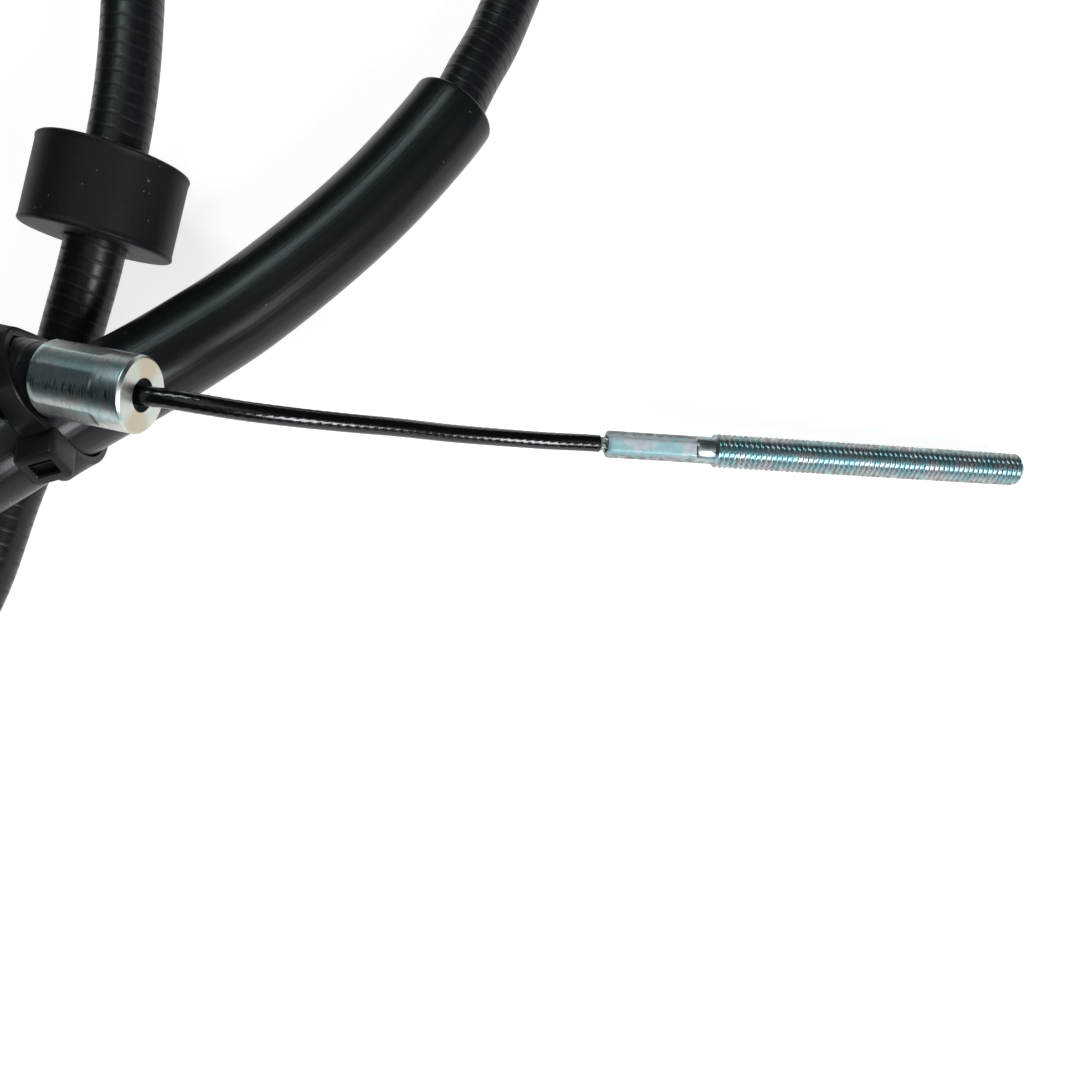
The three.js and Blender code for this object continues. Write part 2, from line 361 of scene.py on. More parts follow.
    def seen(self) -> Field:
        """Tells the rays that show the surface to the camera, straight or by a reflection.

        Returns:
            1 on those rays and 0 on the rest.
        """
        path = self.node("ShaderNodeLightPath")
        names = ("Is Camera Ray", "Is Glossy Ray", "Is Transmission Ray")
        camera, glossy, through = (Field(self, path.outputs[name]) for name in names)
        return (camera + glossy + through).clamped()

    def bump(self, height: Field, distance: float) -> None:
        """Feeds the shader's Normal from a height.

        Args:
            height: the height from 0 to 1.
            distance: metres at height 1.
        """
        node = self.node("ShaderNodeBump", None, {"Height": height, "Distance": distance, "Strength": 1.0})
        self.feed(self.shader.inputs["Normal"], node.outputs[0])


@dataclass(frozen=True)
class Jacket:
    """Semi-gloss black plastic over a flat wire coil, whose turns show through as fine rings."""

    name: str = "jacket_plastic"
    tint: Colour = (0.004, 0.005, 0.006)
    worn: Colour = (0.012, 0.014, 0.017)
    dust: Colour = (0.2, 0.21, 0.22)
    turn_pitch: float = 2.35 * MM
    ring_depth: float = 0.04 * MM
    rough: float = 0.26
    sheen: float = 0.3

    def material(self) -> bpy.types.Material:
        """Builds the finish.

        Returns:
            The material.
        """
        g = Graph(self.name)
        phase = g.along() * (2 * math.pi / self.turn_pitch) + g.around()
        wander = g.streaks(1.6, 420.0, 3.0)
        step = (phase + wander * 1.2).sine().ease(0.55, 0.98)
        uneven = g.noise(70.0, 2.0, 0.5).ease(0.3, 0.7)
        mottle = g.noise(1100.0, 3.0, 0.6)
        dust = g.specks(700.0, 0.1)
        colour = g.mix(mottle * 0.8, self.tint, self.worn)
        g.set(
            Base_Color=g.mix(dust * 0.4, colour, self.dust),
            Roughness=(mottle * 0.14 + self.rough) + step * 0.14,
            Specular_IOR_Level=self.sheen,
        )
        g.bump(step * (uneven * 0.7 + 0.3) + (wander * 0.35 + mottle * 0.25), self.ring_depth)
        return g.material


@dataclass(frozen=True)
class CableCoat:
    """Glossy black coat that shows the strands under it."""

    name: str = "cable_coat"
    tint: Colour = (0.003, 0.003, 0.003)
    rough: float = 0.14
    sheen: float = 0.55
    grain_depth: float = 0.02 * MM

    def material(self) -> bpy.types.Material:
        """Builds the finish.

        Returns:
            The material.
        """
        g = Graph(self.name)
        fine = g.noise(1400.0, 2.0, 0.6)
        g.set(Base_Color=self.tint, Roughness=fine * 0.12 + self.rough, Specular_IOR_Level=self.sheen)
        g.bump(fine, self.grain_depth)
        return g.material


@dataclass(frozen=True)
class SleeveRubber:
    """Smooth satin black sleeve with fine drawn lines and dust."""

    name: str = "sleeve_rubber"
    tint: Colour = (0.004, 0.006, 0.007)
    bloom: Colour = (0.01, 0.012, 0.014)
    dust: Colour = (0.32, 0.34, 0.34)
    rough: float = 0.2
    sheen: float = 0.27
    line_depth: float = 0.08 * MM

    def material(self) -> bpy.types.Material:
        """Builds the finish.

        Returns:
            The material.
        """
        g = Graph(self.name)
        lines = g.streaks(9.0, 9.0, 4.0)
        cloud = g.noise(60.0, 3.0, 0.55)
        dust = (g.specks(330.0, 0.1) + g.specks(900.0, 0.14)).clamped()
        colour = g.mix(cloud * 0.7, self.tint, self.bloom)
        g.set(
            Base_Color=g.mix(dust * 0.6, colour, self.dust),
            Roughness=lines * 0.18 + self.rough,
            Specular_IOR_Level=self.sheen,
        )
        g.bump(lines * 0.7 + cloud * 0.3, self.line_depth)
        return g.material


@dataclass(frozen=True)
class BushRubber:
    """Moulded satin black rubber with scuffs and dust."""

    name: str = "bush_rubber"
    tint: Colour = (0.006, 0.007, 0.009)
    scuffed: Colour = (0.02, 0.023, 0.026)
    dust: Colour = (0.3, 0.32, 0.33)
    rough: float = 0.42
    sheen: float = 0.2
    grain_depth: float = 0.07 * MM

    def material(self) -> bpy.types.Material:
        """Builds the finish.

        Returns:
            The material.
        """
        g = Graph(self.name)
        grain = g.noise(1600.0, 4.0, 0.65)
        cloud = g.noise(90.0, 3.0, 0.6)
        dust = (g.specks(520.0, 0.14) + g.specks(1300.0, 0.2)).clamped()
        scuffs = g.noise(300.0, 5.0, 0.7).ease(0.6, 0.8)
        colour = g.mix(scuffs * 0.5, self.tint, self.scuffed)
        g.set(
            Base_Color=g.mix(dust * 0.35, colour, self.dust),
            Roughness=cloud * 0.16 + self.rough,
            Specular_IOR_Level=self.sheen,
        )
        g.bump(grain * 0.6 + cloud * 0.4, self.grain_depth)
        return g.material


@dataclass(frozen=True)
class TieNylon:
    """Black nylon with a fine moulded grain."""

    name: str = "tie_nylon"
    tint: Colour = (0.005, 0.0055, 0.006)
    pale: Colour = (0.012, 0.0125, 0.013)
    rough: float = 0.32
    sheen: float = 0.22
    grain_depth: float = 0.02 * MM

    def material(self) -> bpy.types.Material:
        """Builds the finish.

        Returns:
            The material.
        """
        g = Graph(self.name)
        grain = g.noise(2200.0, 3.0, 0.6)
        cloud = g.noise(200.0, 2.0, 0.5)
        g.set(
            Base_Color=g.mix(cloud * 0.6, self.tint, self.pale),
            Roughness=grain * 0.15 + self.rough,
            Specular_IOR_Level=self.sheen,
        )
        g.bump(grain, self.grain_depth)
        return g.material


@dataclass(frozen=True)
class Zinc:
    """Zinc plating with a blue passivation: finely turned, with faint cyan and lilac patches, a painted tan
    reflection on its level sides, a tan tint on its end face, and a painted band of dark reflection dashes
    a little off its top and bottom; the face tint and the band can be turned off.
    """

    name: str
    bright: Colour = (0.74, 0.76, 0.75)
    cyan: Colour = (0.54, 0.7, 0.71)
    lilac: Colour = (0.66, 0.63, 0.72)
    # tan of the painted reflection on the sides, also used for the end face
    tan: Colour = (0.5, 0.42, 0.3)
    dark: Colour = (0.1, 0.11, 0.12)
    rough: float = 0.2
    lines_around: float = 2.2
    lines_along: float = 5200.0
    line_depth: float = 0.012 * MM
    grain_depth: float = 0.5
    # how strong the painted tan reflection on the sides is
    side_reflection_tan: float = 0.5
    warm_face: float = 0.0
    # how strong the painted band of dark reflection dashes is
    dark_reflection: float = 0.0
    line_shade: float = 0.15
    blasted_length: float = 0.0
    front_depth: float = 0.4 * MM
    blast_edge: float = 0.1 * MM
    # where the painted band of dark reflection dashes lies around the piece, as a sine, and how narrow it
    # is
    dark_reflection_place: float = 0.22
    dark_reflection_narrow: float = 30.0

    def material(self) -> bpy.types.Material:
        """Builds the finish.

        Returns:
            The material.
        """
        g = Graph(self.name)
        front = 1.0 - g.along().ease(0.0, self.front_depth)
        lines = g.streaks(self.lines_around, self.lines_along) * (1.0 - front) + front * 0.5
        patches = g.noise(230.0, 3.0, 0.6)
        smudge = g.noise(1300.0, 4.0, 0.7)
        hue = g.ramp(
            patches * 0.7 + lines * 0.3,
            [(0.3, self.lilac), (0.42, self.bright), (0.54, self.cyan), (0.68, self.bright)],
        )
        sine = g.lay(Channel.SINE)
        # Painted reflection: tan on the piece's level sides, on part of the turning lines.
        sides = (sine * sine).ease(0.45, 0.95) * lines.ease(0.35, 0.6) * self.side_reflection_tan
        shaded = g.mix(lines.ease(0.5, 0.72) * self.line_shade, hue, self.dark)
        warm = g.mix((sides + front * self.warm_face).clamped(), shaded, self.tan)
        blasted = 1.0 - g.along().ease(self.blasted_length - self.blast_edge, self.blasted_length)
        # Painted reflection: a band of dark dashes on the turning lines a little off the top and bottom, at
        # a fixed angle around the piece.
        off = sine - self.dark_reflection_place
        dark_reflection_dashes = (1.0 - (off * off * self.dark_reflection_narrow).clamped()) * lines.ease(0.5, 0.56)
        g.set(
            Base_Color=g.mix(dark_reflection_dashes * self.dark_reflection, warm, self.dark),
            Metallic=1.0,
            Roughness=(smudge * 0.16 + self.rough) + (lines * 0.1 + blasted * 0.22),
        )
        height = lines * (1.0 - self.grain_depth) + smudge * self.grain_depth + smudge * blasted * 2.0
        g.bump(height, self.line_depth)
        return g.material


@dataclass(frozen=True)
class BareWire:
    """Drawn steel wire."""

    name: str = "wire_steel"
    tint: Colour = (0.52, 0.54, 0.55)
    stained: Colour = (0.3, 0.29, 0.27)
    rough: float = 0.25
    stain_depth: float = 0.01 * MM

    def material(self) -> bpy.types.Material:
        """Builds the finish.

        Returns:
            The material.
        """
        g = Graph(self.name)
        stain = g.noise(700.0, 3.0, 0.6)
        g.set(
            Base_Color=g.mix(stain * 0.5, self.tint, self.stained),
            Metallic=1.0,
            Roughness=stain * 0.2 + self.rough,
        )
        g.bump(stain, self.stain_depth)
        return g.material


@dataclass(frozen=True)
class LinerPlastic:
    """Natural plastic of the liner, slightly waxy."""

    name: str = "liner_plastic"
    tint: Colour = (0.62, 0.6, 0.55)
    cloudy: Colour = (0.5, 0.48, 0.43)
    rough: float = 0.4
    cloud_depth: float = 0.01 * MM

    def material(self) -> bpy.types.Material:
        """Builds the finish.

        Returns:
            The material.
        """
        g = Graph(self.name)
        cloud = g.noise(400.0, 2.0, 0.5)
        g.set(Base_Color=g.mix(cloud * 0.5, self.tint, self.cloudy), Roughness=cloud * 0.1 + self.rough)
        g.bump(cloud, self.cloud_depth)
        return g.material


@dataclass
class Route:
    """The cable's centreline, from the rod's end to the rear end stop, in metres."""

    middle: tuple[float, float] = (-0.0017, -0.00535)
    coil_centre: tuple[float, float] = (-0.0887, 0.056)
    wide_centre: tuple[float, float] = (-0.0912, -0.0642)
    coil_radius: float = 0.055
    wide_radius: float = 0.058
    sleeved_radius: float = 0.066
    arc_step: float = 15.0
    per_span: int = 40
    points: list[Place] = field(default_factory=list)
    marks: dict[str, int] = field(default_factory=dict)

    def __post_init__(self) -> None:
        """Lays the points out and samples the smooth curve through them."""
        self.lay_out()
        self.samples = self.smooth(np.array(self.points))
        steps = np.linalg.norm(np.diff(self.samples, axis=0), axis=1)
        self.reached = np.concatenate([[0.0], np.cumsum(steps)])
        self.length = float(self.reached[-1])

    def add(self, *places: Place) -> None:
        """Adds points, measured from the drawing's own origin."""
        for x, y, z in places:
            self.points.append((x - self.middle[0], y - self.middle[1], z))

    def mark(self, name: str) -> None:
        """Names the last point."""
        self.marks[name] = len(self.points) - 1

    def turn(
        self, centre: tuple[float, float], radius: float, start: float, end: float, low: float, high: float
    ) -> None:
        """Adds a turn of the coil.

        Args:
            centre: the turn's middle.
            radius: its radius.
            start: its first angle in degrees.
            end: its last angle in degrees.
            low: its height at the start.
            high: its height at the end.
        """
        count = max(2, round(abs(end - start) / self.arc_step))
        for i in range(count + 1):
            share = i / count
            angle = math.radians(start + (end - start) * share)
            height = low + (high - low) * share * share * (3 - 2 * share)
            self.add((centre[0] + radius * math.cos(angle), centre[1] + radius * math.sin(angle), height))

    def lay_out(self) -> None:
        """The free inner cable, the turns of the conduit, and the rear end."""
        self.add((0.0706, -0.0599, 0.0129))
        self.mark("rod_end")
        self.add(
            (0.0666, -0.0598, 0.0134), (0.0606, -0.0598, 0.0144), (0.0519, -0.0599, 0.0171),
            (0.0435, -0.0602, 0.021), (0.0354, -0.0605, 0.0257), (0.0276, -0.0609, 0.03),
            (0.0202, -0.0611, 0.0338), (0.0131, -0.0609, 0.0365), (0.0078, -0.0604, 0.0379),
            (0.0034, -0.0598, 0.0384), (-0.001, -0.0591, 0.0379),
        )
        self.mark("front_face")
        self.add(
            (-0.00803, -0.05732, 0.03599), (-0.01506, -0.05554, 0.03408), (-0.02068, -0.0541, 0.03255),
            (-0.026, -0.0526, 0.0316), (-0.045, -0.0472, 0.027), (-0.072, -0.0405, 0.021),
        )
        self.turn((-0.0887, 0.0205), self.coil_radius, 256, 185, 0.017, 0.0159)
        self.turn(self.coil_centre, self.coil_radius, 176, 94, 0.0159, 0.0159)
        self.turn((-0.065, 0.056), self.coil_radius, 88, 4, 0.0159, 0.0206)
        self.add(
            (-0.0101, 0.036, 0.021), (-0.0105, 0.0159, 0.0198), (-0.011, 0.0058, 0.0187),
            (-0.0119, -0.0025, 0.0176), (-0.0135, -0.0115, 0.0163), (-0.0152, -0.01845, 0.01515),
        )
        self.mark("bush_middle")
        self.add(
            (-0.0166, -0.0244, 0.0138), (-0.0183, -0.03, 0.012), (-0.0215, -0.0383, 0.0086),
            (-0.0242, -0.0455, 0.0059), (-0.0269, -0.053, 0.0052), (-0.0318, -0.0671, 0.0052),
            (-0.0367, -0.084, 0.0052),
        )
        self.turn(self.wide_centre, self.wide_radius, 328, 185, 0.0052, 0.0052)
        self.turn(self.coil_centre, self.coil_radius, 178, 92, 0.0052, 0.0052)
        self.add((-0.04, 0.111, 0.0052))
        self.turn((0.0064, 0.056), self.coil_radius, 90, -22, 0.0052, 0.0052)
        self.add((0.0542, 0.0265, 0.0053), (0.0515, 0.0196, 0.0057), (0.0478, 0.0117, 0.0072))
        self.add((0.0443, 0.0041, 0.0083))
        self.mark("sleeve_start")
        self.add(
            (0.0373, -0.0054, 0.0084), (0.0289, -0.0154, 0.0089), (0.0188, -0.0259, 0.0101),
            (0.0075, -0.0365, 0.0118), (0.0013, -0.0417, 0.0132), (-0.0075, -0.0488, 0.0156),
            (-0.0149, -0.0542, 0.0178), (-0.0217, -0.0595, 0.0198), (-0.0284, -0.0646, 0.0208),
            (-0.036, -0.0697, 0.0207),
        )
        self.turn((-0.0698, -0.0136), self.sleeved_radius, 292, 215, 0.0203, 0.0084)
        self.mark("sleeve_end")
        self.add(*(self.inside_coil(*place) for place in (
            (0.0163, -0.037, 0.0058), (0.0122, -0.024, 0.0053), (0.0107, -0.01, 0.0053),
            (0.0108, 0.004, 0.0057), (0.0117, 0.014, 0.0061), (0.013, 0.024, 0.0061),
            (0.0148, 0.034, 0.006), (0.0176, 0.045, 0.0052), (0.0221, 0.057, 0.0044),
            (0.0282, 0.068, 0.0042), (0.0347, 0.078, 0.0042),
        )))

    def inside_coil(self, inward: float, y: float, z: float) -> Place:
        """A place by its distance from the coil's straight left side.

        Args:
            inward: the distance.
            y: the place's y.
            z: its height.

        Returns:
            The place.
        """
        (wide_x, wide_y), (coil_x, coil_y) = self.wide_centre, self.coil_centre
        share = min((y - wide_y) / (coil_y - wide_y), 1.0)
        wide_side, coil_side = wide_x - self.wide_radius, coil_x - self.coil_radius
        return (wide_side + (coil_side - wide_side) * share + inward, y, z)

    def smooth(self, points: np.ndarray) -> np.ndarray:
        """Samples the centripetal Catmull-Rom curve through the points.

        Args:
            points: the points that the curve passes.

        Returns:
            The samples, the same number on each span.
        """
        before = 2 * points[0] - points[1]
        after = 2 * points[-1] - points[-2]
        padded = np.vstack([before, points, after])
        shares = np.arange(self.per_span)[:, None] / self.per_span
        spans = []
        for p0, p1, p2, p3 in zip(padded, padded[1:], padded[2:], padded[3:]):
            d0, d1, d2 = (math.sqrt(np.linalg.norm(b - a)) for a, b in ((p0, p1), (p1, p2), (p2, p3)))
            leave = ((p1 - p0) / d0 - (p2 - p0) / (d0 + d1) + (p2 - p1) / d1) * d1
            arrive = ((p2 - p1) / d1 - (p3 - p1) / (d1 + d2) + (p3 - p2) / d2) * d1
            spans.append(
                p1 + leave * shares
                + (3 * (p2 - p1) - 2 * leave - arrive) * shares**2
                + (2 * (p1 - p2) + leave + arrive) * shares**3
            )
        return np.vstack([*spans, points[-1]])

    def distance(self, name: str) -> float:
        """Distance along the curve at which a marked point lies."""
        return float(self.reached[self.marks[name] * self.per_span])

    def at(self, distances: Union[float, np.ndarray]) -> np.ndarray:
        """Places at distances along the curve."""
        return np.stack([np.interp(distances, self.reached, self.samples[:, k]) for k in range(3)], axis=-1)

    def tangents(self, distances: np.ndarray, reach: float = 0.4 * MM) -> np.ndarray:
        """Unit directions at distances along the curve.

        Args:
            distances: where.
            reach: half of the chord that gives a direction.

        Returns:
            The directions.
        """
        ahead = self.at(np.minimum(distances + reach, self.length))
        chord = ahead - self.at(np.maximum(distances - reach, 0.0))
        return chord / np.linalg.norm(chord, axis=-1, keepdims=True)

    def frames(self, distances: np.ndarray) -> tuple[np.ndarray, np.ndarray]:
        """Directions across the curve that turn with it as little as they can.

        Args:
            distances: where.

        Returns:
            The first and the second direction across at each place.
        """
        along = self.tangents(distances)
        first = np.cross(along[0], [0.0, 0.0, 1.0])
        first /= np.linalg.norm(first)
        firsts = [first]
        for tangent in along[1:]:
            first = first - tangent * float(first @ tangent)
            first = first / np.linalg.norm(first)
            firsts.append(first)
        across = np.array(firsts)
        return across, np.cross(along, across)

    def nearest(self, place: Place, start: float, end: float) -> float:
        """Finds where the curve comes closest to a place.

        Args:
            place: the place, measured from the drawing's own origin.
            start: where the search starts along the curve.
            end: where it ends.

        Returns:
            The distance along the curve.
        """
        target = np.array([place[0] - self.middle[0], place[1] - self.middle[1], place[2]])
        distances = np.arange(start, end, 0.25 * MM)
        return float(distances[np.argmin(np.linalg.norm(self.at(distances) - target, axis=1))])


@dataclass
class Sizes:
    """Sizes shared between the pieces, in metres, and the places along the route that follow from them."""

    route: Route
    conduit_radius: float = 5.1 * MM
    cable_radius: float = 1.5 * MM
    rope_radius: float = 1.2 * MM
    rope_bare: float = 1.2 * MM
    ferrule_length: float = 15.0 * MM
    ferrule_wall: float = 4.0 * MM
    gap: float = 0.3 * MM
    stop_length: float = 10.0 * MM
    rear_cable: float = 46.0 * MM
    bush_length: float = 14.9 * MM
    sleeve_radius: float = 7.9 * MM
    front_rope_depth: float = 2.6 * MM
    rear_rope_depth: float = 5.0 * MM
    front_spin: float = -0.17
    rear_spin: float = 0.2

    def __post_init__(self) -> None:
        """Works out the places along the route."""
        route = self.route
        self.rod_end = route.distance("rod_end")
        self.front_face = route.distance("front_face")
        self.conduit_front = self.front_face + self.ferrule_wall + self.gap
        self.front_back = self.front_face + self.ferrule_length
        self.sleeve_start = route.distance("sleeve_start")
        self.sleeve_end = route.distance("sleeve_end")
        self.stop_face = route.length - self.stop_length - self.rope_bare
        self.rear_face = self.stop_face - self.rear_cable
        self.rear_back = self.rear_face - self.ferrule_length
        self.conduit_rear = self.rear_face - self.ferrule_wall - self.gap
        self.bush_middle = route.distance("bush_middle")


class Maker:
    """Makes meshes out of rings of points."""

    @staticmethod
    def loft(
        name: str,
        rings: np.ndarray,
        ends: Ends = Ends.CAPPED,
        lay: Optional[np.ndarray] = None,
    ) -> bpy.types.Object:
        """Joins rings of points into a closed mesh.

        Args:
            name: the piece's name.
            rings: an array of ring by point by coordinate.
            ends: whether the end rings get caps or meet each other.
            lay: the lay attribute, ring by point by component.

        Returns:
            The object, in the scene.
        """
        count, around = rings.shape[:2]
        last = count if ends is Ends.JOINED else count - 1
        faces: list[tuple[int, ...]] = []
        for i in range(last):
            here = i * around
            there = ((i + 1) % count) * around
            for j in range(around):
                k = (j + 1) % around
                faces.append((here + j, here + k, there + k, there + j))
        if ends is Ends.CAPPED:
            faces.append(tuple(reversed(range(around))))
            faces.append(tuple(range((count - 1) * around, count * around)))
        mesh = bpy.data.meshes.new(name)
        mesh.from_pydata(rings.reshape(-1, 3).tolist(), [], faces)
        if lay is not None:
            attribute = mesh.attributes.new("lay", "FLOAT_VECTOR", "POINT")
            attribute.data.foreach_set("vector", lay.reshape(-1).astype(np.float32))
        mesh.update()
        piece = bpy.data.objects.new(name, mesh)
        bpy.context.scene.collection.objects.link(piece)
        Maker.shade(piece)
        return piece

    @staticmethod
    def shade(piece: bpy.types.Object, degrees: float = 35.0) -> None:
        """Shades a mesh smooth, with edges past an angle sharp.

        Args:
            piece: the mesh object.
            degrees: the angle.
        """
        mesh = piece.data
        mesh.polygons.foreach_set("use_smooth", [True] * len(mesh.polygons))
        mesh.set_sharp_from_angle(angle=math.radians(degrees))

    @staticmethod
    def dress(
        piece: bpy.types.Object, material: bpy.types.Material, slot: str, *nodes: str
    ) -> bpy.types.Object:
        """Gives a piece its material, its body and the nodes that it stands for.

        Args:
            piece: the piece.
            material: its material.
            slot: the record's material slot; not used.
            nodes: the nodes that it replaces.

        Returns:
            The piece.
        """
        piece.data.materials.clear()
        piece.data.materials.append(material)
        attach(piece, ROOT)
        if nodes:
            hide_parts(*nodes)
        names = ", ".join(nodes) or "itself"
        LOG.info("%s: %d faces, for %s", piece.name, len(piece.data.polygons), names)
        return piece

    @staticmethod
    def tube(
        name: str,
        route: Route,
        distances: np.ndarray,
        sides: int,
        radius: Callable[[float, np.ndarray], np.ndarray],
        bore: float = 0.0,
    ) -> bpy.types.Object:
        """A tube or rod along the route.

        Args:
            name: the piece's name.
            route: the route.
            distances: where its sections lie.
            sides: points on each section.
            radius: the radius at a distance for an array of angles.
            bore: the bore's radius, or 0 for a solid rod.

        Returns:
            The object.
        """
        angles = np.linspace(0, 2 * math.pi, sides, endpoint=False)
        centres = route.at(distances)
        across, over = route.frames(distances)
        cosine, sine = np.cos(angles), np.sin(angles)
        spread = across[:, None] * cosine[None, :, None] + over[:, None] * sine[None, :, None]
        radii = np.array([radius(float(d), angles) for d in distances])
        rings = centres[:, None] + spread * radii[:, :, None]
        lay = np.empty_like(rings)
        lay[:, :, 0] = cosine
        lay[:, :, 1] = sine
        lay[:, :, 2] = distances[:, None]
        if bore <= 0:
            return Maker.loft(name, rings, Ends.CAPPED, lay)
        inner = centres[:, None] + spread * bore
        return Maker.loft(name, np.vstack([rings, inner[::-1]]), Ends.JOINED, np.vstack([lay, lay[::-1]]))

    @staticmethod
    def turned(
        name: str,
        profile: Sequence[tuple[float, float]],
        sides: int,
        ends: Ends,
        shape: Optional[Callable[[float, float, np.ndarray], np.ndarray]] = None,
    ) -> bpy.types.Object:
        """A turned piece along its own +Z.

        Args:
            name: the piece's name.
            profile: radius and height of each ring.
            sides: points on each ring.
            ends: capped where the profile ends at both ends, joined where it closes on itself.
            shape: the radius for a profile's radius, its height and an array of angles.

        Returns:
            The object, about the origin.
        """
        angles = np.linspace(0, 2 * math.pi, sides, endpoint=False)
        rings = np.empty((len(profile), sides, 3))
        lay = np.empty_like(rings)
        cosine, sine = np.cos(angles), np.sin(angles)
        for i, (radius, height) in enumerate(profile):
            radii = np.full(sides, radius) if shape is None else shape(radius, height, angles)
            level = np.full(sides, height)
            rings[i] = np.stack([radii * cosine, radii * sine, level], axis=1)
            lay[i] = np.stack([cosine, sine, level], axis=1)
        return Maker.loft(name, rings, ends, lay)

    @staticmethod
    def aim(piece: bpy.types.Object, place: np.ndarray, direction: np.ndarray, spin: float = 0.0) -> None:
        """Moves a mesh so that its +Z lies along a direction from a place, with its +Y as level as can be.

        Args:
            piece: the piece, made about the origin.
            place: where its origin goes.
            direction: where its +Z points.
            spin: a turn about its own +Z, in radians.
        """
        z = Vector(direction).normalized()
        y = Vector((0, 0, 1)).cross(z).normalized()
        x = y.cross(z)
        turn = Matrix((x, y, z)).transposed().to_4x4() @ Matrix.Rotation(spin, 4, "Z")
        piece.data.transform(Matrix.Translation(Vector(place)) @ turn)
        piece.data.update()

    @staticmethod
    def rounded(corners: Sequence[tuple[float, float, float]], steps: int = 4) -> list[tuple[float, float]]:
        """Rounds the corners of a profile.

        Args:
            corners: radius, height and fillet of each corner.
            steps: points on each fillet beyond the first.

        Returns:
            The profile's points.
        """
        count = len(corners)
        out: list[tuple[float, float]] = []
        for i, (r, z, fillet) in enumerate(corners):
            here = Vector((r, z))
            if fillet <= 0 or i in (0, count - 1):
                out.append((r, z))
                continue
            before = Vector(corners[i - 1][:2]) - here
            after = Vector(corners[i + 1][:2]) - here
            start = here + before.normalized() * min(fillet, before.length / 2)
            end = here + after.normalized() * min(fillet, after.length / 2)
            for k in range(steps + 1):
                t = k / steps
                point = start.lerp(here, t).lerp(here.lerp(end, t), t)
                out.append((point.x, point.y))
        return out


def round_section(radius: float) -> Callable[[float, np.ndarray], np.ndarray]:
    """A plain round section of a tube."""
    return lambda distance, angles: np.full(angles.shape, radius)


def stations(start: float, end: float, step: float) -> np.ndarray:
    """Even distances from start to end, close to a step apart."""
    return np.linspace(start, end, max(2, round((end - start) / step) + 1))


@dataclass
class Conduit:
    """The jacket, the wire coil and the liner, which run from ferrule to ferrule."""

    sizes: Sizes
    coil_radius: float = 3.72 * MM
    liner_radius: float = 2.45 * MM
    liner_bore: float = 1.95 * MM
    jacket_bore: float = 4.0 * MM
    coil_bore: float = 2.75 * MM
    step: float = 2.4 * MM
    inner_step: float = 6.0 * MM
    jacket_sides: int = 36
    coil_sides: int = 16
    liner_sides: int = 12

    def layer(
        self, name: str, step: float, sides: int, radius: float, bore: float
    ) -> bpy.types.Object:
        """Makes one layer of the conduit.

        Args:
            name: the layer's name.
            step: the distance between its sections.
            sides: points on each section.
            radius: its outer radius.
            bore: its bore's radius.

        Returns:
            The layer.
        """
        path = stations(self.sizes.conduit_front, self.sizes.conduit_rear, step)
        return Maker.tube(name, self.sizes.route, path, sides, round_section(radius), bore)

    def build(self, rear_ferrule: bpy.types.Object) -> None:
        """Args:
            rear_ferrule: the piece on the conduit's rear end; not used.
        """
        sizes = self.sizes
        route = sizes.route
        ends = (sizes.conduit_front, sizes.conduit_rear)
        path = stations(*ends, self.step)
        outer = sizes.conduit_radius
        jacket = self.layer("conduit_jacket_skin", self.step, self.jacket_sides, outer, self.jacket_bore)
        step = self.inner_step
        coil = self.layer("wire_coil_tube", step, self.coil_sides, self.coil_radius, self.coil_bore)
        liner = self.layer("liner_tube", step, self.liner_sides, self.liner_radius, self.liner_bore)
        Maker.dress(jacket, Jacket().material(), "jacket_plastic", "conduit_jacket")
        Maker.dress(coil, BareWire(name="coil_steel").material(), "wire_steel", "conduit_wire_coil")
        Maker.dress(liner, LinerPlastic().material(), "liner_plastic", "conduit_liner")
        tuple(route.at(ends[0]))
        ends[1] - ends[0]
        [tuple(p) for p in route.at(path)]


